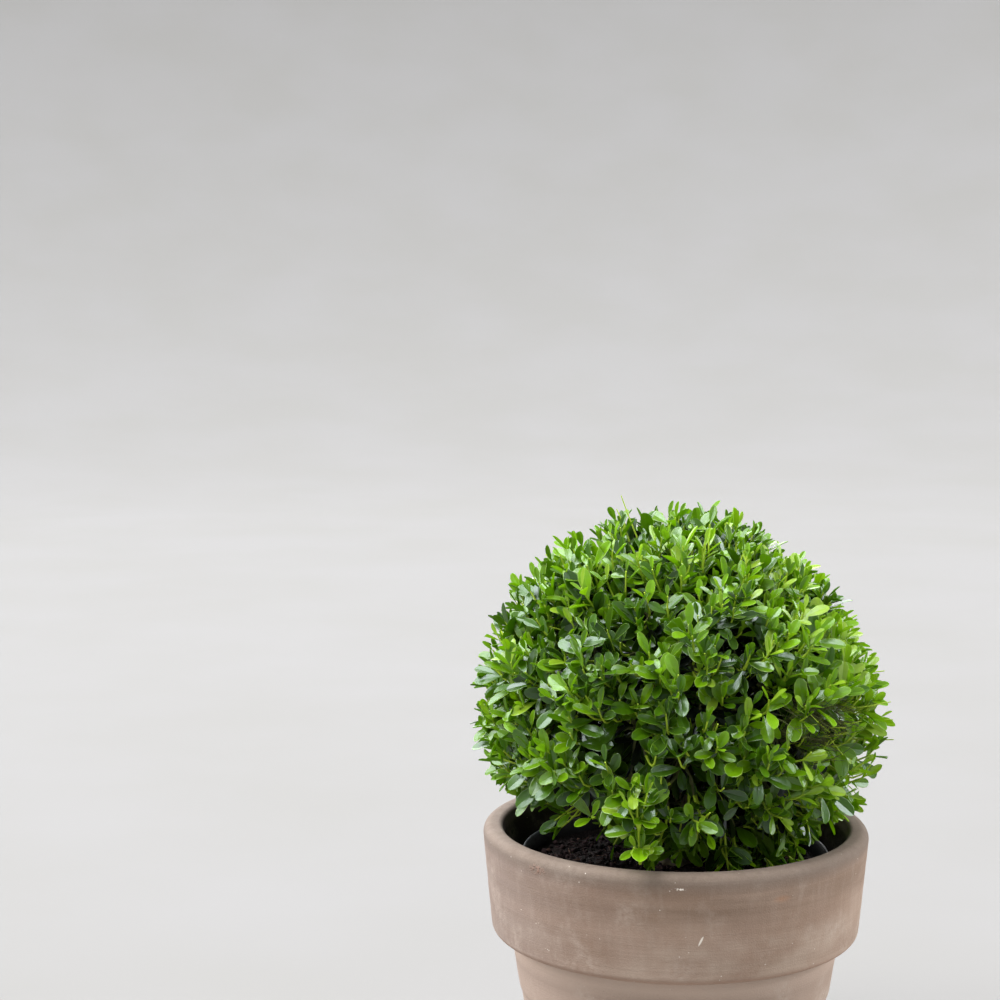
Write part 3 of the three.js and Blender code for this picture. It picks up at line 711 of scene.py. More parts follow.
def clay_pot():
    body_share = BAND_FOOT_HEIGHT / COLLAR_FOOT_HEIGHT
    band_radius = BODY_FOOT_RADIUS + (BODY_TOP_RADIUS - BODY_FOOT_RADIUS) * body_share
    foot_middle = (BODY_FOOT_RADIUS - FOOT_ROUND, FOOT_ROUND)
    collar_middle = (COLLAR_FOOT_RADIUS - COLLAR_ROUND_OUT, COLLAR_FOOT_HEIGHT + COLLAR_ROUND_UP)
    lip_middle = (RIM_RADIUS - LIP_ROUND, POT_HEIGHT - LIP_ROUND)
    inner_middle = (RIM_INNER_RADIUS + LIP_INNER_ROUND, POT_HEIGHT - LIP_INNER_ROUND)
    outline = with_rings([
        (BODY_FOOT_RADIUS - FOOT_ROUND, 0),
        *arc(foot_middle, (FOOT_ROUND, FOOT_ROUND), angles=(-60, 0), steps=4),
        (band_radius - BAND_STEP, BAND_FOOT_HEIGHT - BAND_STEP),
        (band_radius - BAND_UNDERCUT * BAND_STEP, BAND_FOOT_HEIGHT),
        (band_radius, BAND_FOOT_HEIGHT + BAND_STEP),
        (BODY_TOP_RADIUS, COLLAR_FOOT_HEIGHT - COLLAR_NECK_DOWN),
        (BODY_TOP_RADIUS + COLLAR_NECK_OUT, COLLAR_FOOT_HEIGHT),
        *arc(collar_middle, (COLLAR_ROUND_OUT, COLLAR_ROUND_UP), angles=(-88, 0), steps=9),
        *arc(lip_middle, (LIP_ROUND, LIP_ROUND), angles=(0, 90), steps=8),
        *arc(inner_middle, (LIP_INNER_ROUND, LIP_INNER_ROUND), angles=(90, 180), steps=5),
        (BODY_TOP_RADIUS - POT_WALL, COLLAR_FOOT_HEIGHT),
        (BODY_FOOT_RADIUS - POT_WALL, POT_FLOOR + FOOT_ROUND),
        (BODY_FOOT_RADIUS - POT_WALL - FOOT_ROUND, POT_FLOOR),
    ], RING_PITCH)
    pot = turned("pot", outline, POT_SIDES)

    # No thrown pot is quite round, and the fingers leave low rings in its wall
    points = points_of(pot)
    angle = np.arctan2(points[:, 1], points[:, 0])
    height = points[:, 2]
    wobble = sum(share * np.sin(waves * angle + start + twist * height)
                 for share, waves, start, twist in POT_WAVES)
    ridges = np.array([
        noise.noise(Vector((RIDGE_DRIFT * math.cos(a), RIDGE_DRIFT * math.sin(a), z / RIDGE_PITCH)))
        for a, z in zip(angle, height)
    ])
    off_floor = np.clip((height - FOOT_ROUND) / EVEN_FOOT, 0, 1)
    move = off_floor * (POT_WOBBLE * wobble * height / POT_HEIGHT + THROWING_RIDGE * ridges)
    points[:, 0] += move * np.cos(angle)
    points[:, 1] += move * np.sin(angle)
    set_points(pot, points)

    for i in range(DRAIN_HOLES):
        turn = 2 * math.pi * i / DRAIN_HOLES
        place = (DRAIN_CIRCLE * math.cos(turn), DRAIN_CIRCLE * math.sin(turn), POT_FLOOR / 2)
        pick_nothing()
        bpy.ops.mesh.primitive_cylinder_add(
            vertices=DRAIN_SIDES, radius=DRAIN_RADIUS, depth=3 * POT_FLOOR, location=place
        )
        drill = bpy.context.object
        pick(pot)
        cut = pot.modifiers.new("drain_hole", "BOOLEAN")
        cut.operation = "DIFFERENCE"
        cut.object = drill
        bpy.ops.object.modifier_apply(modifier=cut.name)
        bpy.data.objects.remove(drill)
    smoothed(pot, POT_SMOOTH)
    hand_in(pot, ["clay_pot"], [weathered_earthenware()])


def container_radius(height):
    """Outer radius of the nursery container's wall at a height, without its lip."""
    share = (height - CONTAINER_FOOT) / (CONTAINER_TOP - CONTAINER_FOOT)
    return CONTAINER_FOOT_RADIUS + share * (CONTAINER_RIM_RADIUS - CONTAINER_LIP_OUT - CONTAINER_FOOT_RADIUS)


def nursery_container():
    lip_foot = CONTAINER_TOP - CONTAINER_LIP_HEIGHT
    roll = CONTAINER_LIP_ROLL
    floor = CONTAINER_FOOT + CONTAINER_WALL
    outline = with_rings([
        (CONTAINER_FOOT_RADIUS - CONTAINER_FOOT_ROUND, CONTAINER_FOOT),
        (CONTAINER_FOOT_RADIUS, CONTAINER_FOOT + CONTAINER_FOOT_ROUND),
        (container_radius(lip_foot), lip_foot - 2 * CONTAINER_LIP_STEP),
        (container_radius(lip_foot) + CONTAINER_LIP_STEP, lip_foot),
        (CONTAINER_RIM_RADIUS - CONTAINER_LIP_BEVEL, lip_foot + CONTAINER_LIP_BEVEL),
        *arc((CONTAINER_RIM_RADIUS - roll, CONTAINER_TOP - roll), (roll, roll), angles=(0, 150), steps=7),
        (container_radius(CONTAINER_TOP) - CONTAINER_WALL, CONTAINER_TOP - CONTAINER_LIP_INSIDE),
        (container_radius(floor) - CONTAINER_WALL, floor),
    ], CONTAINER_PITCH)
    container = turned("container", outline, CONTAINER_SIDES)
    smoothed(container, CONTAINER_SMOOTH)
    hand_in(container, ["nursery_container"], [black_polypropylene()])


def soil_radius(height=SOIL_TOP):
    """Radius of the compost at a height, just clear of the container's wall."""
    return container_radius(height) - (CONTAINER_WALL + 2 * CLEARANCE)


def soil_height(x, y):
    """The compost's surface: flat at the foot of the trunk and uneven towards the wall."""
    share = np.clip((np.hypot(x, y) - SOIL_FLAT_RADIUS) / SOIL_FLAT_RADIUS, 0, 1)
    swell = np.sin(x / SOIL_WAVES[0]) + np.cos(y / SOIL_WAVES[1]) - SOIL_SETTLED
    return SOIL_TOP + share * share * (3 - 2 * share) * SOIL_SWELL * swell


def lumps(count, size, rng):
    """Crumbs as twenty-sided lumps, each squashed and turned its own way: their points, and one's faces."""
    pick_nothing()
    bpy.ops.mesh.primitive_ico_sphere_add(subdivisions=1, radius=1)
    ball = bpy.context.object
    round_points = points_of(ball)
    faces = np.array([face.vertices[:] for face in ball.data.polygons])
    bpy.data.objects.remove(ball)
    points = round_points[None] * rng.uniform(*CRUMB_CORNERS, (count, len(round_points), 1))
    points *= rng.uniform(*CRUMB_SQUASH, (count, 1, 3))
    frames = np.linalg.qr(rng.normal(size=(count, 3, 3)))[0]
    frames[:, 0] *= np.sign(np.linalg.det(frames))[:, None]
    return np.einsum("nij,nvj->nvi", frames, points) * size[:, None, None], faces


def strewn(count, margins, rng):
    """Places spread evenly over the compost, between its margins at the trunk and the wall."""
    radius = np.sqrt(rng.uniform(margins[0] ** 2, (soil_radius() - margins[1]) ** 2, count))
    turn = rng.uniform(0, 2 * math.pi, count)
    return radius * np.cos(turn), radius * np.sin(turn)


def compost():
    foot = CONTAINER_FOOT + CONTAINER_WALL + CLEARANCE
    edge = soil_radius()
    outline = [
        (soil_radius(foot), foot),
        *with_rings([(edge, SOIL_TOP), (SOIL_MIDDLE, SOIL_TOP)], SOIL_PITCH),
    ]
    bed = turned("compost_bed", outline, SOIL_SIDES)
    points = points_of(bed)
    radius = np.hypot(points[:, 0], points[:, 1])
    top = (points[:, 2] > SOIL_TOP - SOIL_EDGE) & (radius < edge - SOIL_EDGE)
    rough = np.array([
        sum(share * noise.noise(Vector(p) / size) for share, size in SOIL_GRAINS) for p in points[top]
    ])
    roughened = np.clip((radius[top] - ROUGH_FROM) / ROUGH_OVER, 0, 1)
    points[top, 2] = soil_height(points[top, 0], points[top, 1]) + SOIL_ROUGH * rough * roughened
    set_points(bed, points)
    smoothed(bed, CRUMB_SMOOTH)
    hand_in(bed, ["compost"], [peat("damp_peat", "#110c0b", "#2e221f")])

    rng = np.random.default_rng(SEED)
    tones = [
        peat("dark_peat_crumb", "#150f0e", "#2e2320"),
        peat("brown_peat_crumb", "#2a1d1d", "#4b3a39"),
        peat("dry_bark_crumb", "#43302a", "#6c5040"),
    ]
    size = CRUMB_SIZE[0] + (CRUMB_SIZE[1] - CRUMB_SIZE[0]) * rng.random(CRUMBS) ** 3
    x, y = strewn(CRUMBS, CRUMB_MARGINS, rng)
    shapes, faces = lumps(CRUMBS, size, rng)
    shapes += np.stack([x, y, soil_height(x, y) + CRUMB_PROUD * size], axis=1)[:, None]
    tone = rng.choice(len(tones), CRUMBS, p=CRUMB_SHARES)
    crumbs = joined("compost_crumbs", shapes, faces, np.repeat(tone, len(faces)), CRUMB_SMOOTH)
    hand_in(crumbs, ["compost"], tones)

    length = rng.uniform(*FIBRE_LENGTH, FIBRES)
    x, y = strewn(FIBRES, FIBRE_MARGINS, rng)
    heading = rng.uniform(0, 2 * math.pi, FIBRES)
    level = np.zeros(FIBRES)
    middle = np.stack([x, y, level], axis=1)
    run = np.stack([np.cos(heading), np.sin(heading), level], axis=1)
    bow = np.stack([-np.sin(heading), np.cos(heading), level], axis=1)
    lines = middle[:, None] + run[:, None] * (length[:, None] * FIBRE_POINTS)[..., None]
    bowed = (length * rng.uniform(-FIBRE_BOW, FIBRE_BOW, FIBRES))[:, None, None]
    lines += bow[:, None] * bowed * (FIBRE_POINTS ** 2)[:, None]
    lifted = rng.uniform(*FIBRE_LIFT, (FIBRES, len(FIBRE_POINTS)))
    lines[..., 2] = soil_height(lines[..., 0], lines[..., 1]) + lifted
    widths = rng.uniform(*FIBRE_RADIUS, FIBRES)[:, None] * FIBRE_TAPER
    shapes, faces = tubes(lines, widths, FIBRE_SIDES)
    tone = rng.choice(2, FIBRES, p=FIBRE_SHARES)
    fibres = joined("compost_fibres", shapes, faces, np.repeat(tone, len(faces)), FIBRE_SMOOTH)
    hand_in(fibres, ["compost"], tones[1:])


def joined(name, shapes, faces, slots, degrees):
    """One piece from many copies: shapes holds each copy's points, faces the faces of one."""
    count, each = shapes.shape[:2]
    every_face = (faces[None] + each * np.arange(count)[:, None, None]).reshape(-1, faces.shape[1])
    mesh = bpy.data.meshes.new(name)
    mesh.from_pydata(shapes.reshape(-1, 3).tolist(), [], every_face.tolist())
    mesh.polygons.foreach_set("material_index", np.asarray(slots, dtype=np.int32))
    piece = bpy.data.objects.new(name, mesh)
    bpy.context.scene.collection.objects.link(piece)
    smoothed(piece, degrees)
    return piece


def unit(vectors):
    return vectors / np.linalg.norm(vectors, axis=-1, keepdims=True)


def across_from(along, upright_from):
    """A direction to measure each line's sides from: upwards, or along x where the line itself is upright."""
    upright = np.abs(along[..., 2:]) > upright_from
    return np.where(upright, np.array((1.0, 0.0, 0.0)), np.array((0.0, 0.0, 1.0)))


def tubes(lines, radii, sides):
    """Closed tapering tubes along lines of equally many points: their points, and the faces of one."""
    count, steps = lines.shape[:2]
    along = unit(np.gradient(lines, axis=1))
    reference = across_from(along[:, :1], upright_from=0.8)
    side = unit(np.cross(along, np.broadcast_to(reference, along.shape)))
    across = np.cross(along, side)
    angles = 2 * math.pi * np.arange(sides) / sides
    ring = side[:, :, None] * np.cos(angles)[:, None] + across[:, :, None] * np.sin(angles)[:, None]
    points = lines[:, :, None] + radii[:, :, None, None] * ring
    faces = []
    for step in range(steps - 1):
        for j in range(sides):
            a, b = step * sides + j, step * sides + (j + 1) % sides
            faces += [(a, b, b + sides), (a, b + sides, a + sides)]
    last = (steps - 1) * sides
    for j in range(1, sides - 1):
        faces += [(0, j + 1, j), (last, last + j, last + j + 1)]
    return points.reshape(count, steps * sides, 3), np.array(faces)


def direction(azimuth, elevation):
    a, e = math.radians(azimuth), math.radians(elevation)
    return np.array((math.cos(e) * math.cos(a), math.cos(e) * math.sin(a), math.sin(e)))


# From the crown's centre to the middle of each mass: the top one first, then those round the side
MASS_AXES = np.array([
    (0.0, 0.0, 1.0),
    *[direction(FIRST_AZIMUTH + 360 * i / SIDE_MASSES, SIDE_TILT) for i in range(SIDE_MASSES)],
])
MASS_NAMES = ["top", *[f"side_{i + 1}" for i in range(SIDE_MASSES)]]


def crown_reach(directions):
    """Distance from the crown's centre to its clipped surface, along each direction."""
    below = np.maximum(0, -directions[:, 2] - DRAW_IN_FROM)
    rightward = 0.5 + 0.5 * directions[:, 0] / np.maximum(np.hypot(directions[:, 0], directions[:, 1]), 1e-6)
    draw_in = DRAW_IN_LEFT + (DRAW_IN_RIGHT - DRAW_IN_LEFT) * rightward
    flat_side = np.clip((directions @ unit(FLAT_SIDE) - FLAT_SIDE_FROM) / (1 - FLAT_SIDE_FROM), 0, 1)
    level = 1 - FLAT_TOP * np.maximum(0, directions[:, 2]) ** 4
    return CROWN_RADIUS * (1 - draw_in * below * below) * (1 - FLATTENED * flat_side) * level


def nearest(directions, candidates):
    return np.argmax(directions @ candidates.T, axis=1)


def even_directions(count, lowest):
    """Directions spread evenly over a ball, down to the lowest one wanted."""
    index = np.arange(count)
    z = 1 - (2 * index + 1) / count
    ring = np.sqrt(1 - z * z)
    angle = GOLDEN_ANGLE * index
    directions = np.stack([ring * np.cos(angle), ring * np.sin(angle), z], axis=1)
    return directions[z > math.sin(math.radians(lowest))]


def at_depth(directions, depth):
    """Points under the clipped surface."""
    return CROWN_CENTRE + directions * (crown_reach(directions) - depth)[:, None]


def bough_line(mass):
    """The leader carries the trunk on, the others leave its side and turn upwards."""
    if mass == 0:
        foot = np.array((*TRUNK_LEAN, TRUNK_FOOT + TRUNK_HEIGHT - TRUNK_TIP_RADIUS))
        end = np.array((HEART[0], HEART[1], LEADER_TIP_HEIGHT))
        return np.array([foot, (foot + end) / 2 + LEADER_BEND, end])
    outward = unit(MASS_AXES[mass] * (1, 1, 0))
    start = TRUNK_FOOT + BOUGH_LOW_START + (mass % 2) * BOUGH_STAGGER
    bend = outward * BOUGH_BEND_RADIUS + (0, 0, start + BOUGH_BEND_RISE)
    end = outward * BOUGH_TIP_RADIAL + (HEART[0], HEART[1], BOUGH_TIP_HEIGHT)
    return np.array([(0, 0, start), bend, end])


def on_curve(start, bend, end, t):
    """The points at the shares t of a curve from start to end that is drawn towards bend."""
    return (1 - t) ** 2 * start + 2 * t * (1 - t) * bend + t * t * end


def smooth_line(points, steps):
    """A smooth line through three points, and its direction at the end."""
    a, b, c = points
    first, second = np.linalg.norm(b - a), np.linalg.norm(c - b)
    middle = first / (first + second)
    bend = (b - (1 - middle) ** 2 * a - middle ** 2 * c) / (2 * middle * (1 - middle))
    t = np.linspace(0, 1, steps)[:, None]
    return on_curve(a, bend, c, t), unit(c - bend)


def trunk_piece():
    """The trunk: a disc drawn up ring by ring, then given its flare, taper and lean."""
    trunk = turned("trunk", [(1, share) for share in np.linspace(0, 1, TRUNK_RINGS)], TRUNK_SIDES)
    points = points_of(trunk)
    up = points[:, 2].copy()
    angle = np.arctan2(points[:, 1], points[:, 0])
    lobes = 1 - FLARE_LOBE_SHARE + FLARE_LOBE_SHARE * np.cos(FLARE_LOBES * angle)
    flare = FLARE_OUT * np.exp(-up * TRUNK_HEIGHT / FLARE_HEIGHT) * lobes
    thick = TRUNK_FOOT_RADIUS + (TRUNK_TIP_RADIUS - TRUNK_FOOT_RADIUS) * up + flare
    points[:, 0] = TRUNK_LEAN[0] * up ** 2 + thick * np.cos(angle)
    points[:, 1] = TRUNK_LEAN[1] * up ** 2 + thick * np.sin(angle)
    points[:, 2] = TRUNK_FOOT + TRUNK_HEIGHT * up
    set_points(trunk, points)
    return trunk


def bough_piece(mass):
    """One bough as a tapering tube with rounded sides."""
    line, _ = smooth_line(bough_line(mass), BOUGH_POINTS)
    root = LEADER_ROOT_RADIUS if mass == 0 else BOUGH_ROOT_RADIUS
    curve = bpy.data.curves.new(f"bough_{mass}", "CURVE")
    curve.dimensions = "3D"
    curve.bevel_depth = 1.0
    curve.bevel_resolution = 3
    curve.use_fill_caps = True
    spline = curve.splines.new("POLY")
    spline.points.add(len(line) - 1)
    for i, (x, y, z) in enumerate(line):
        spline.points[i].co = (x, y, z, 1)
        spline.points[i].radius = root + (BOUGH_TIP_RADIUS - root) * i / (len(line) - 1)
    bough = bpy.data.objects.new(curve.name, curve)
    bpy.context.scene.collection.objects.link(bough)
    pick(bough)
    bpy.ops.object.convert(target="MESH")
    return bpy.context.object


def limbs():
    """Trunk and boughs grown together in one skin, with the bark's relief."""
    trunk = trunk_piece()
    pieces = [trunk, *[bough_piece(mass) for mass in range(len(MASS_AXES))]]
    pick_nothing()
    for each in pieces:
        each.select_set(True)
    bpy.context.view_layer.objects.active = trunk
    bpy.ops.object.join()
    wood = bpy.context.object
    wood.name = wood.data.name = "limbs"
    skin = wood.modifiers.new("one_skin", "REMESH")
    skin.mode = "VOXEL"
    skin.voxel_size = BARK_VOXEL
    bpy.ops.object.modifier_apply(modifier=skin.name)
    soften = wood.modifiers.new("grown_joints", "SMOOTH")
    soften.iterations = BARK_ROUNDS
    bpy.ops.object.modifier_apply(modifier=soften.name)
    normals = np.empty(len(wood.data.vertices) * 3)
    wood.data.vertices.foreach_get("normal", normals)
    points = points_of(wood)
    bumps = np.array([
        sum(share * noise.noise(Vector(p / size)) for share, size in BARK_GRAINS) for p in points
    ])
    points += BARK_RELIEF * bumps[:, None] * normals.reshape(-1, 3)
    points[:, 2] = np.maximum(points[:, 2], TRUNK_FOOT)
    set_points(wood, points)
    smoothed(wood, BARK_SMOOTH)
    nodes = ["trunk", "bough_leader", *[f"bough_side_{i + 1}" for i in range(SIDE_MASSES)]]
    hand_in(wood, nodes, [holly_bark("old_holly_bark", "#6d6244", "#857a58", "#4a4130")])


def blade_point(kind, x, y, rolled=0):
    """A point of a leaf's upper side, which is folded along its midrib, curled and twisted."""
    rise = math.tan(math.radians(kind["fold"]))
    bent = -kind["curl"] * x * x + kind["twist"] * x * y
    return (x, y, abs(y) * rise + bent - rolled)


def leaf_shapes():
    """The leaf's outlines and bends, on one set of faces: x runs from root to tip, z is the upper side.
    Returns the shapes, their faces, and for each face whether it is upper side, margin or lower side."""
    usual = ((0.12, 0.16), (0.38, 0.70), (0.64, 1.0), (0.85, 0.85), (0.965, 0.44))
    narrow = ((0.12, 0.18), (0.36, 0.72), (0.60, 1.0), (0.83, 0.82), (0.96, 0.42))
    clipped = ((0.10, 0.16), (0.24, 0.48), (0.40, 0.78), (0.54, 0.96), (0.62, 1.0))
    kinds = [
        dict(outline=usual, length=1.0, width=0.39, fold=15, curl=0.05, twist=0.0),
        dict(outline=usual, length=1.0, width=0.36, fold=23, curl=0.10, twist=0.14),
        dict(outline=usual, length=1.0, width=0.43, fold=9, curl=0.13, twist=-0.10),
        dict(outline=narrow, length=1.0, width=0.34, fold=28, curl=-0.05, twist=0.08),
        dict(outline=clipped, length=0.64, width=0.40, fold=15, curl=0.06, twist=0.0),
    ]
    across = (-1, -LEAF_MARGIN, 0, LEAF_MARGIN, 1)
    shapes = []
    for kind in kinds:
        top = [(0.0, 0.0, 0.0)]
        keel = []
        for x, share in kind["outline"]:
            half = share * kind["width"] / 2
            top += [blade_point(kind, x, y * half, MARGIN_ROLL if abs(y) == 1 else 0) for y in across]
            keel.append((x, 0.0, blade_point(kind, x, 0.0)[2] - KEEL_DEPTH))
        top.append(blade_point(kind, kind["length"], 0.0))
        shapes.append(top + keel)

    root, tip, keel = 0, LEAF_TIP, LEAF_TIP + 1
    last = ACROSS - 1
    faces, sides = [], []
    first = [1 + ACROSS * i for i in range(STATIONS)]
    for j in range(last):
        strip = [(root, first[0] + j, first[0] + j + 1), (tip, first[-1] + j + 1, first[-1] + j)]
        for a, b in zip(first, first[1:]):
            strip += [(a + j, b + j, b + j + 1), (a + j, b + j + 1, a + j + 1)]
        faces += strip
        sides += [MARGIN if j in (0, last - 1) else UPPER] * len(strip)
    lower = [(root, keel, first[0]), (root, first[0] + last, keel)]
    lower += [(tip, first[-1], keel + STATIONS - 1), (tip, keel + STATIONS - 1, first[-1] + last)]
    for i, (a, b) in enumerate(zip(first, first[1:])):
        lower += [(a, keel + i, keel + i + 1), (a, keel + i + 1, b)]
        lower += [(keel + i, a + last, b + last), (keel + i, b + last, keel + i + 1)]
    return np.array(shapes), np.array(faces + lower), np.array(sides + [LOWER] * len(lower))


# Pockets in the crown with no leaves: azimuth, elevation and half-angle in degrees, and how deep they go
POCKETS = (
    # The dark gaps in front
    (-84.5, -12, 6.0, 0.070), (-89, -9, 4.5, 0.065), (-62, 8, 3.2, 0.035), (-108, 27, 2.6, 0.032),
    (-88, 23, 2.6, 0.032), (-68, 30, 3.4, 0.042), (-68, 17, 2.8, 0.034), (-87, 12, 3.0, 0.038),
    (-77, 9, 2.6, 0.034), (-108, 2, 3.4, 0.044), (-103, -3, 3.2, 0.044), (-95, -26, 3.6, 0.055),
    (-80, -32, 4.0, 0.060), (-62, -36, 4.0, 0.060), (-131, 6, 2.6, 0.030),
    # Low at the left, where the compost shows
    (-138, -27, 5.5, 0.070), (-127, -32, 6.5, 0.090), (-116, -34, 6.5, 0.090), (-125, -45, 9.0, 0.110),
    (-150, -45, 11.0, 0.110), (180, -48, 11.0, 0.110),
    # Low at the right
    (-70, -26, 4.5, 0.050), (-48, -24, 4.0, 0.045), (-39, -11, 2.6, 0.040), (-56, 0, 2.8, 0.040),
    (-63, -15, 2.8, 0.042), (-50, -36, 4.5, 0.055), (-118, 6, 2.8, 0.030), (-38, -16, 3.6, 0.060),
    (-22, -20, 3.8, 0.060), (-30, -8, 2.6, 0.050),
    # The notch in the outline at the right, and below it three rows through which the sky shows
    (-28, 5, 3.0, 0.022), (-18, 4, 3.0, 0.022), (-7, 1.5, 3.0, 0.022), (4, -1, 3.0, 0.022),
    (14, -3, 3.0, 0.020),
    (-24, -18, 2.8, 0.020), (-13, -21, 2.8, 0.022), (-1, -24, 2.8, 0.022), (8, -26, 2.8, 0.020),
    (-26, -7, 2.2, 0.022), (-16, -10, 2.2, 0.024), (-5, -13, 2.2, 0.024), (6, -15, 2.2, 0.022),
    (-33, -9, 2.0, 0.030), (-23, -12, 2.0, 0.032), (-11, -15, 2.0, 0.034), (1, -18, 2.0, 0.032),
    (13, -20, 2.0, 0.030),
    # Shallow ones along the rest of the outline
    (2, 22, 2.6, 0.020), (-178, 4, 2.6, 0.020), (-179, 19, 2.4, 0.020), (172, 33, 2.6, 0.020),
    (20, 52, 2.8, 0.020), (-168, 52, 2.4, 0.018), (100, 72, 2.8, 0.020),
    # The back and the sides
    (60, -12, 3.0, 0.036), (85, 25, 2.6, 0.032), (135, 8, 2.8, 0.034), (150, -20, 3.2, 0.040),
    (35, 10, 4.0, 0.045), (110, -8, 4.5, 0.050), (170, 14, 3.5, 0.040), (-150, -14, 3.8, 0.045),
)

# Where clipping has left only fine bare twigs: azimuth, elevation and half-angle, and how deep
TWIGGY_PLACES = ((-52, 5, 4.0, 0.013), (-44, 5, 4.0, 0.013), (-36, 3, 3.6, 0.014), (-46, -2, 3.0, 0.016))

# Shoots that stand out past the clipped surface: azimuth and elevation in degrees, and how far past it
STRAYS = (
    (163, 69, 0.012), (-6, -2, 0.007), (-174, -3, 0.005), (-14, 12, 0.006), (178, 24, 0.006),
    (-150, 48, 0.005), (-30, 44, 0.005), (60, 30, 0.008), (120, 15, 0.008), (95, 60, 0.006),
    (20, -14, 0.007), (-97, -30, 0.006),
)

# Bare stems that clipping has missed: azimuth and elevation, and how far they stand out
BARE_STEMS = (
    (-172, 73.5, 0.018), (-165, 71, 0.010), (-4, 11, 0.008), (-9, -7, 0.008), (-3, 2, 0.007),
    (-12, -1, 0.008), (-18, 5, 0.008), (179, 12, 0.006), (150, 40, 0.010), (48, 20, 0.010),
)

# The bright shoot in front, and the small one at its foot: each one's root, its tip and its leaves
FRONT_SHOOTS = (
    ((-0.0252, -0.128, 0.2525), (-0.0274, -0.150, 0.306), 13),
    ((-0.0262, -0.140, 0.280), (-0.0200, -0.150, 0.311), 6),
    ((-0.0262, -0.140, 0.282), (-0.0345, -0.149, 0.302), 5),
    ((-0.0250, -0.129, 0.262), (-0.0178, -0.144, 0.2690), 10),
    ((-0.0252, -0.130, 0.264), (-0.0295, -0.143, 0.2690), 6),
)


def uneven(points, size):
    """Smooth unevenness from about -1 to 1, with swells of the given size."""
    return np.array([2 * noise.noise(Vector(p) / size) for p in points])


def in_pocket(points):
    """True where a point lies in one of the crown's open pockets."""
    offsets = points - CROWN_CENTRE
    distance = np.linalg.norm(offsets, axis=1)
    directions = offsets / distance[:, None]
    depth = crown_reach(directions) - distance
    inside = np.zeros(len(points), bool)
    for azimuth, elevation, half_angle, deep in (*POCKETS, *TWIGGY_PLACES):
        off_axis = np.degrees(np.arccos(np.clip(directions @ direction(azimuth, elevation), -1, 1)))
        close = np.flatnonzero((off_axis < (1 + POCKET_RAGGED) * half_angle) & (depth < deep))
        ragged = half_angle * (1 + POCKET_RAGGED * uneven(directions[close], POCKET_SWELLS))
        inside[close] |= off_axis[close] < ragged
    return inside


def is_free(points, tolerance=REACH_TOLERANCE):
    """True where a point lies inside the crown's outline and clear of pot, container and compost."""
    offsets = points - CROWN_CENTRE
    distance = np.linalg.norm(offsets, axis=-1)
    flat = (offsets / distance[..., None]).reshape(-1, 3)
    reach = crown_reach(flat).reshape(distance.shape)
    radius = np.hypot(points[..., 0], points[..., 1])
    inner = CONTAINER_RIM_RADIUS - CONTAINER_LIP_OUT - CONTAINER_WALL - 2 * RIM_MARGIN
    in_wall = (points[..., 2] < POT_HEIGHT + RIM_MARGIN) & (radius > inner)
    in_soil = points[..., 2] < SOIL_TOP + SOIL_SWELL + RIM_MARGIN
    return (distance < reach * tolerance) & ~in_wall & ~in_soil


def length_of(vectors):
    return np.linalg.norm(vectors, axis=1)[:, None]


def leaf_frames(along, angle, roll, sway, outward, sunlit):
    """Each leaf's blade, width and upper side as the columns of a matrix. All faces turn a little to the
    light, and those of the sunlit leaves turn nearly the whole way to the brightest part of the sky."""
    reference = across_from(along, upright_from=0.9)
    side = unit(reference - along * np.sum(reference * along, axis=1, keepdims=True))
    side = side * np.cos(roll)[:, None] + np.cross(along, side) * np.sin(roll)[:, None]
    cos, sin = np.cos(angle)[:, None], np.sin(angle)[:, None]
    blade = along * cos + side * sin
    upper = along * sin - side * cos
    light = unit(LIGHT_OUTWARD * outward + LIGHT_FROM_ABOVE)
    upper = unit(upper + LIGHT_TURN * light + SUNLIT_TURN * sunlit[:, None] * BRIGHTEST_SKY)
    blade = unit(blade - upper * np.sum(blade * upper, axis=1, keepdims=True))
    upper = upper * np.cos(sway)[:, None] + np.cross(blade, upper) * np.sin(sway)[:, None]
    return np.stack([blade, np.cross(upper, blade), upper], axis=2)


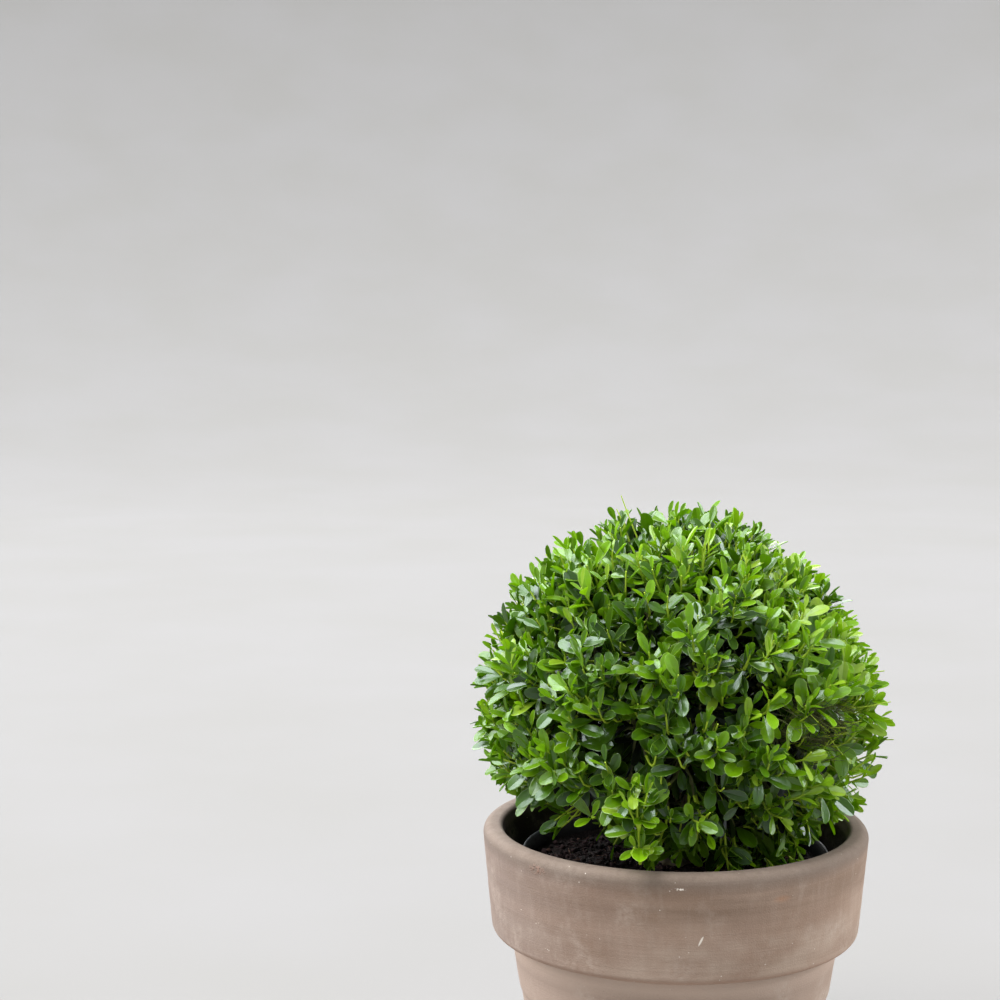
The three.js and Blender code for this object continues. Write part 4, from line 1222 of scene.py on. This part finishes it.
class Growth:
    """Grows the whole crown by the rule of the solids, carried on to branchlets, shoots and real leaves.
    It collects the wood and the leaves, each with the mass that it belongs to."""

    def __init__(self):
        self.rng = np.random.default_rng(SEED)
        self.wood = []
        self.leaves = []
        self.stems_and_forks()
        self.branchlets_with_old_leaves()
        self.inner_sprays()
        self.leafy_shoots()
        self.front_shoots()
        self.twiggy_places()
        self.missed_stems()
        self.bare_twigs()

    def jittered(self, directions, spread):
        return unit(directions + self.rng.normal(0, spread, directions.shape))

    def midway(self, starts, ends, spread):
        return (starts + ends) / 2 + self.rng.normal(0, spread, ends.shape)

    def from_branchlets(self, origin, starts, bends, ends, keep):
        """The lines that are kept, with the mass of the branchlet that each one leaves."""
        return [each[keep] for each in (self.branchlet_mass[origin], starts, bends, ends)]

    def add_wood(self, mass, starts, bends, ends, radii, brown):
        """Tapering wood on curves from starts to ends, drawn towards the bends. radii are at its root and
        tip, and brown is the share of its length up to which the bark is brown."""
        t = np.linspace(0, 1, LINE_POINTS)[None, :, None]
        lines = on_curve(starts[:, None], bends[:, None], ends[:, None], t)
        self.wood.append((mass, lines, *[np.broadcast_to(each, len(lines)) for each in (*radii, brown)]))

    def leaf_whorls(
        self, mass, starts, bends, ends, count, tone, tip_tone, full_size=False, in_front=False
    ):
        """Leaves along each line, from its end down, each turned by the golden angle from the last. Those
        in front may reach farther past the crown's outline, and the crown's pockets don't cut into them."""
        rng = self.rng
        number = len(starts)
        run = np.linalg.norm(bends - starts, axis=1) + np.linalg.norm(ends - bends, axis=1)
        roll = rng.uniform(0, 2 * math.pi, number)
        vigour = np.clip(rng.normal(1, VIGOUR_SPREAD, number), *VIGOUR_LIMITS)
        back = np.full(number, TIP_LEAF_BACK)
        for i in range(count):
            t = (1 - back / run)[:, None]
            root = on_curve(starts, bends, ends, t)
            along = unit((1 - t) * (bends - starts) + t * (ends - bends))
            opening = min(WIDEST_ANGLE, TIP_ANGLE + NEXT_ANGLE * i)
            angle = np.radians(opening + rng.uniform(-ANGLE_SPREAD, ANGLE_SPREAD, number))
            outward = unit(root - CROWN_CENTRE)
            sunlit = (rng.random(number) < SUNLIT_SHARE) & (outward @ BRIGHTEST_SKY > SUNLIT_FROM)
            sway = rng.normal(0, ROLL_SPREAD, number) * np.where(sunlit, SUNLIT_ROLL, 1)
            frames = leaf_frames(along, angle, roll, sway, outward, sunlit)
            young = YOUNG_LEAF_SIZES[i] if i < len(YOUNG_LEAF_SIZES) and not full_size else 1.0
            length = young * vigour * rng.normal(LEAF_LENGTH, LEAF_LENGTH_SPREAD / 2, number)
            shape = rng.integers(0, NARROW_SHAPE, number)
            if i < NARROW_LEAVES and not full_size:
                shape[:] = NARROW_SHAPE
            shape[sunlit] = FLAT_SHAPE
            shape[rng.random(number) < CLIPPED_SHARE] = CLIPPED_SHAPE
            fresh = np.where(i < TIP_LEAVES, tip_tone, tone - TONE_PER_LEAF * i)
            fresh = fresh + rng.normal(0, TONE_SPREAD, number)
            fresh = np.where(sunlit, np.maximum(fresh, MATURE), fresh)
            keep = (t[:, 0] > BARE_ROOT_SHARE) & (rng.random(number) > FALLEN_SHARE)
            tones = np.clip(np.round(fresh[keep]), DEEP if full_size else DARK, YOUNG).astype(int)
            kept = [each[keep] for each in (mass, root, frames, length, shape)]
            self.leaves.append((*kept, tones, np.full(keep.sum(), in_front)))
            roll += GOLDEN_ANGLE + rng.normal(0, SPIRAL_SPREAD, number)
            grown = min(1.0, (i + 1) / SPACING_OPENS_OVER)
            spacing = TIP_SPACING + (LEAF_SPACING - TIP_SPACING) * grown
            back = back + spacing * rng.uniform(*SPACING_SPREAD, number)

    def stems_and_forks(self):
        """Each bough goes on as a stem into its mass, and forks there."""
        forks = even_directions(FORKS, LOWEST_FORK)
        self.fork_mass = nearest(forks, MASS_AXES)
        self.forks = unit(forks + PULL_FROM_EDGE * (MASS_AXES[self.fork_mass] - forks))
        self.fork_ends = at_depth(self.forks, FORK_DEPTH)
        for mass, axis in enumerate(MASS_AXES):
            line = bough_line(mass)
            _, onwards = smooth_line(line, 2)
            foot = line[2] + onwards * CLEARANCE
            end = axis * STEM_END + CROWN_CENTRE
            turn = foot + onwards * STEM_TURN
            radii = (BOUGH_TIP_RADIUS, STEM_TIP_RADIUS)
            self.add_wood(np.array([mass]), foot[None], turn[None], end[None], radii, ALL_BROWN)
            own = np.flatnonzero(self.fork_mass == mass)
            ends = self.fork_ends[own]
            starts = np.repeat(end[None], len(own), axis=0)
            bends = starts + unit(end - turn) * FORK_BEND * length_of(ends - end)
            radii = (FORK_ROOT_RADIUS, BRANCHLET_RADIUS)
            self.add_wood(np.full(len(own), mass), starts, bends, ends, radii, ALL_BROWN)

    def branchlets_with_old_leaves(self):
        """Branchlets leave the forks, and carry the old leaves: dark green, and near black where painted as
        shade.
        """
        branchlets = self.jittered(even_directions(BRANCHLETS, LOWEST_TWIG), BRANCHLET_JITTER)
        origin = nearest(branchlets, self.forks)
        spread = self.rng.uniform(-BRANCHLET_SPREAD, BRANCHLET_SPREAD, len(branchlets))
        ends = at_depth(branchlets, BRANCHLET_DEPTH + spread)
        starts = self.fork_ends[origin]
        bends = starts + self.forks[origin] * BRANCHLET_BEND * length_of(ends - starts)
        keep = is_free(ends)
        line = [each[keep] for each in (self.fork_mass[origin], starts, bends, ends)]
        self.branchlets = branchlets[keep]
        self.branchlet_mass, _, _, self.branchlet_ends = line
        self.add_wood(*line, (BRANCHLET_RADIUS, SHOOT_RADII[0]), ALL_BROWN)
        tone = np.full(keep.sum(), BRANCHLET_TONE)
        self.leaf_whorls(*line, LEAVES_ON_BRANCHLET, tone, tone, full_size=True)

    def inner_sprays(self):
        """The dense dark middle: short old sprays that close the view through the crown, their leaves painted
        near black as shade.
        """
        inner = self.jittered(even_directions(INNER_SPRAYS, LOWEST_FORK), INNER_JITTER)
        origin = nearest(inner, self.forks)
        starts = self.fork_ends[origin]
        ends = at_depth(inner, self.rng.uniform(*INNER_DEPTH, len(inner)))
        line = self.fork_mass[origin], starts, self.midway(starts, ends, INNER_BEND), ends
        self.add_wood(*line, INNER_RADII, ALL_BROWN)
        tone = np.full(len(inner), float(DEEP))
        self.leaf_whorls(*line, LEAVES_ON_BRANCHLET, tone, tone, full_size=True)

    def leafy_shoots(self):
        """Shoots stand on the branchlets, bend up towards the light and carry the leaves that show."""
        rng = self.rng
        shoots = self.jittered(even_directions(SHOOTS, LOWEST_TWIG), SHOOT_JITTER)
        depth = SHOOT_DEPTH + rng.normal(0, SHOOT_SPREAD, len(shoots))
        depth = depth + SHOOT_UNEVEN * uneven(shoots, SHOOT_SWELLS)
        stray = np.array([direction(azimuth, elevation) for azimuth, elevation, _ in STRAYS])
        shoots = np.concatenate([shoots, stray])
        depth = np.concatenate([np.maximum(depth, SHALLOWEST), [STRAY_TIP - past for _, _, past in STRAYS]])
        origin = nearest(shoots, self.branchlets)
        starts = self.branchlet_ends[origin]
        ends = at_depth(shoots, depth)
        rise = SHOOT_RISE * np.clip((shoots[:, 2] - RISE_FROM) / RISE_OVER, LEAST_RISE, 1)
        heading = shoots * SHOOT_OUTWARD + rise[:, None] * np.array((0.0, 0.0, 1.0))
        heading = unit(heading + SHOOT_STRAY * rng.normal(size=heading.shape))
        bends = ends - SHOOT_STRAIGHT * length_of(ends - starts) * heading
        leafy = ends + LEAFY_TIP * heading
        keep = is_free(ends, SHOOT_TOLERANCE) & is_free(leafy, LEAFY_TOLERANCE)
        keep &= ~in_pocket(ends) & ~in_pocket(leafy)
        keep &= rng.random(len(shoots)) > LOW_THINNING * np.clip(-THINNING_SLOPE * shoots[:, 2], 0, 1)
        line = self.from_branchlets(origin, starts, bends, ends, keep)
        shoots = shoots[keep]
        self.add_wood(*line, SHOOT_RADII, SHOOT_BROWN)
        # Painted light and shade: paler tones on the sides and most on the right, darker ones at the top and
        # low down
        sunny = SIDE_SUN * np.abs(shoots[:, 0]) + RIGHT_SUN * shoots[:, 0] + HEIGHT_SUN * shoots[:, 2]
        sunny += LOW_SHADE * np.minimum(shoots[:, 2] - LOW_SHADE_FROM, 0.0)
        spray = SPRAY_TONE + SPRAY_UNEVEN * uneven(shoots, SPRAY_SWELLS)
        spray = spray + rng.normal(0, SPRAY_SPREAD, len(shoots)) + sunny
        self.leaf_whorls(*line, LEAVES_ON_SHOOT, spray, spray + SPRAY_TIP)

    def front_shoots(self):
        """The bright low shoots that stand in front, at the rim."""
        thick, thin = SHOOT_RADII
        for root, tip, count in FRONT_SHOOTS:
            root, tip = np.array([root]), np.array([tip])
            closest = np.argmin(length_of(self.branchlet_ends - root))
            start = self.branchlet_ends[closest][None]
            own = self.branchlet_mass[closest][None]
            line = own, root, (root + tip) / 2 + FRONT_BOW, tip
            self.add_wood(own, start, (start + root) / 2, root, (thick, thick * FRONT_TAPER), ALL_GREEN)
            self.add_wood(*line, (thick * FRONT_TAPER, thin), ALL_GREEN)
            spray = np.array([FRONT_TONE])
            self.leaf_whorls(*line, count, spray, spray + FRONT_TIP, in_front=True)

    def twiggy_places(self):
        """Fine twigs at the bare places."""
        rng = self.rng
        for azimuth, elevation, half_angle, deep in TWIGGY_PLACES:
            spread = math.radians(TWIGGY_SPREAD * half_angle)
            fan = unit(direction(azimuth, elevation) + rng.normal(0, spread, (TWIGGY_TWIGS, 3)))
            origin = nearest(self.jittered(fan, TWIGGY_ROOTS), self.branchlets)
            back = rng.uniform(*TWIGGY_START, (TWIGGY_TWIGS, 1))
            starts = self.branchlet_ends[origin] - self.branchlets[origin] * back
            ends = at_depth(fan, rng.uniform(0.0, deep, TWIGGY_TWIGS))
            ends += TWIGGY_ENDS * rng.normal(size=ends.shape)
            bends = self.midway(starts, ends, TWIGGY_BEND)
            keep = is_free(ends)
            line = self.from_branchlets(origin, starts, bends, ends, keep)
            brown = rng.choice(TWIGGY_BROWN, keep.sum(), p=TWIGGY_BROWN_SHARES)
            self.add_wood(*line, TWIGGY_RADII, brown)

    def missed_stems(self):
        """Single stems that stand out past the leaves."""
        missed = np.array([direction(azimuth, elevation) for azimuth, elevation, _ in BARE_STEMS])
        origin = nearest(missed, self.branchlets)
        starts = self.branchlet_ends[origin]
        ends = at_depth(missed, -np.array([past for _, _, past in BARE_STEMS]))
        bends = self.midway(starts, ends, MISSED_BEND)
        self.add_wood(self.branchlet_mass[origin], starts, bends, ends, MISSED_RADII, MISSED_BROWN)

    def bare_twigs(self):
        """Thin bare twigs left inside by years of clipping."""
        bare = unit(self.rng.normal(size=(BARE_TWIGS, 3)))
        bare = bare[bare[:, 2] > math.sin(math.radians(LOWEST_FORK))]
        origin = nearest(bare, self.branchlets)
        starts = self.branchlet_ends[origin] - BARE_START * self.branchlets[origin]
        ends = at_depth(bare, self.rng.uniform(*BARE_DEPTH, len(bare)))
        bends = self.midway(starts, ends, BARE_BEND)
        line = self.from_branchlets(origin, starts, bends, ends, is_free(ends))
        self.add_wood(*line, BARE_RADII, BARE_BROWN)


def twigs(wood):
    """Each mass's twigs as one piece: brown bark, and green towards the tips of the shoots."""
    mass, lines, root, tip, brown = [np.concatenate(column) for column in zip(*wood)]
    taper = np.linspace(0, 1, LINE_POINTS)
    radii = root[:, None] + (tip - root)[:, None] * taper
    shapes, faces = tubes(lines, radii, TWIG_SIDES)
    round_once = 2 * TWIG_SIDES
    last_step = round_once * (LINE_POINTS - 1) - 1
    share = np.minimum(np.arange(len(faces)), last_step) // round_once / (LINE_POINTS - 1)
    green = share[None] >= brown[:, None]
    barks = [
        holly_bark("brown_twig_bark", "#47491f", "#5e642d", "#2a2d15", 0.2),
        holly_bark("green_shoot_bark", "#9cb61e", "#b4ce34", "#8ba41e", 0.1),
    ]
    for index, name in enumerate(MASS_NAMES):
        own = mass == index
        piece = joined(f"twigs_{name}", shapes[own], faces, green[own].astype(int).ravel(), TWIG_SMOOTH)
        hand_in(piece, [f"foliage_{name}"], barks)


def leaves(grown):
    """Each mass's leaves as one piece, without those that pass the outline or stand in a pocket."""
    tones = [holly_leaf(*finish) for finish in LEAF_FINISHES]
    shapes, faces, sides = leaf_shapes()
    columns = [np.concatenate(column) for column in zip(*grown)]
    mass, roots, frames, length, shape, tone, in_front = columns
    points = np.einsum("nij,nvj->nvi", frames, shapes[shape] * length[:, None, None]) + roots[:, None]
    reach = np.where(in_front, FRONT_LEAF_TOLERANCE, LEAF_TOLERANCE)
    keep = is_free(points, reach[:, None]).all(axis=1)
    keep &= in_front | ~(in_pocket(points[:, LEAF_MIDDLE]) | in_pocket(points[:, LEAF_TIP]))
    slots = np.empty((len(points), len(faces)), int)
    for side, each in ((UPPER, tone), (MARGIN, MARGINS[tone]), (LOWER, UNDERSIDES[tone])):
        slots[:, sides == side] = each[:, None]
    for index, name in enumerate(MASS_NAMES):
        own = keep & (mass == index)
        piece = joined(f"leaves_{name}", points[own], faces, slots[own].ravel(), LEAF_SMOOTH)
        hand_in(piece, [f"foliage_{name}"], tones)


def studio():
    """A pale floor that sweeps up all round, and soft daylight from the sides, from behind and from above."""
    pick_nothing()
    bpy.ops.mesh.primitive_circle_add(
        vertices=FLOOR_SIDES, radius=FLOOR_RADIUS, fill_type="NGON", location=(0, 0, -FLOOR_GAP)
    )
    floor = bpy.context.object
    floor.name = "pale_floor"
    bpy.ops.object.transform_apply()
    bpy.ops.object.mode_set(mode="EDIT")
    bpy.ops.mesh.select_all(action="SELECT")
    bpy.ops.mesh.inset(thickness=FLOOR_EDGE)
    bpy.ops.mesh.select_all(action="SELECT")
    bpy.ops.mesh.region_to_loop()
    radius, height = FLOOR_RADIUS, -FLOOR_GAP
    for step in range(1, SWEEP_STEPS + 1):
        turn = math.radians(SWEEP_ANGLE) * step / SWEEP_STEPS
        next_radius = FLOOR_RADIUS + SWEEP_ROUND * math.sin(turn)
        next_height = SWEEP_ROUND * (1 - math.cos(turn)) - FLOOR_GAP
        bpy.ops.mesh.extrude_edges_move(TRANSFORM_OT_translate={"value": (0, 0, next_height - height)})
        widen = next_radius / radius
        bpy.ops.transform.resize(value=(widen, widen, 1), center_override=(0, 0, next_height))
        radius, height = next_radius, next_height
    bpy.ops.object.mode_set(mode="OBJECT")
    smoothed(floor, FLOOR_SMOOTH)
    # Matt pale plaster, with clouds so faint that it looks even
    made, tree, place = new_material("pale_plaster")
    colour = stain(tree, linear("#737270"), "#71706d", 1.0, patches(tree, place, 0.4))
    floor.data.materials.append(finished(made, tree, {"Base Color": colour, "Roughness": 0.9}))

    world = bpy.data.worlds.new("soft_daylight")
    world.use_nodes = True
    sky = world.node_tree.nodes["Background"]
    sky.inputs["Color"].default_value = linear(SKY_COLOUR)
    sky.inputs["Strength"].default_value = SKY_STRENGTH
    bpy.context.scene.world = world
    for name, place, width, strength in LIGHTS:
        bpy.ops.object.light_add(type="SUN", location=place)
        lamp = bpy.context.object
        lamp.name = name
        lamp.data.angle = math.radians(width)
        lamp.data.energy = strength
        lamp.data.color = linear(LIGHT_COLOUR)[:3]
        lamp.rotation_euler = Vector(place).to_track_quat("Z", "Y").to_euler()


def camera():
    view = bpy.data.cameras.new("photograph")
    view.lens = CAMERA_LENS
    view.sensor_width = CAMERA_SENSOR
    holder = bpy.data.objects.new("photograph", view)
    holder.location = CAMERA_PLACE
    holder.rotation_euler = (math.radians(90 - CAMERA_PITCH), 0, math.radians(CAMERA_TURN))
    bpy.context.scene.collection.objects.link(holder)
    bpy.context.scene.camera = holder
    bpy.context.scene.view_settings.view_transform = "Standard"


camera()
studio()
clay_pot()
nursery_container()
compost()
limbs()
growth = Growth()
twigs(growth.wood)
leaves(growth.leaves)
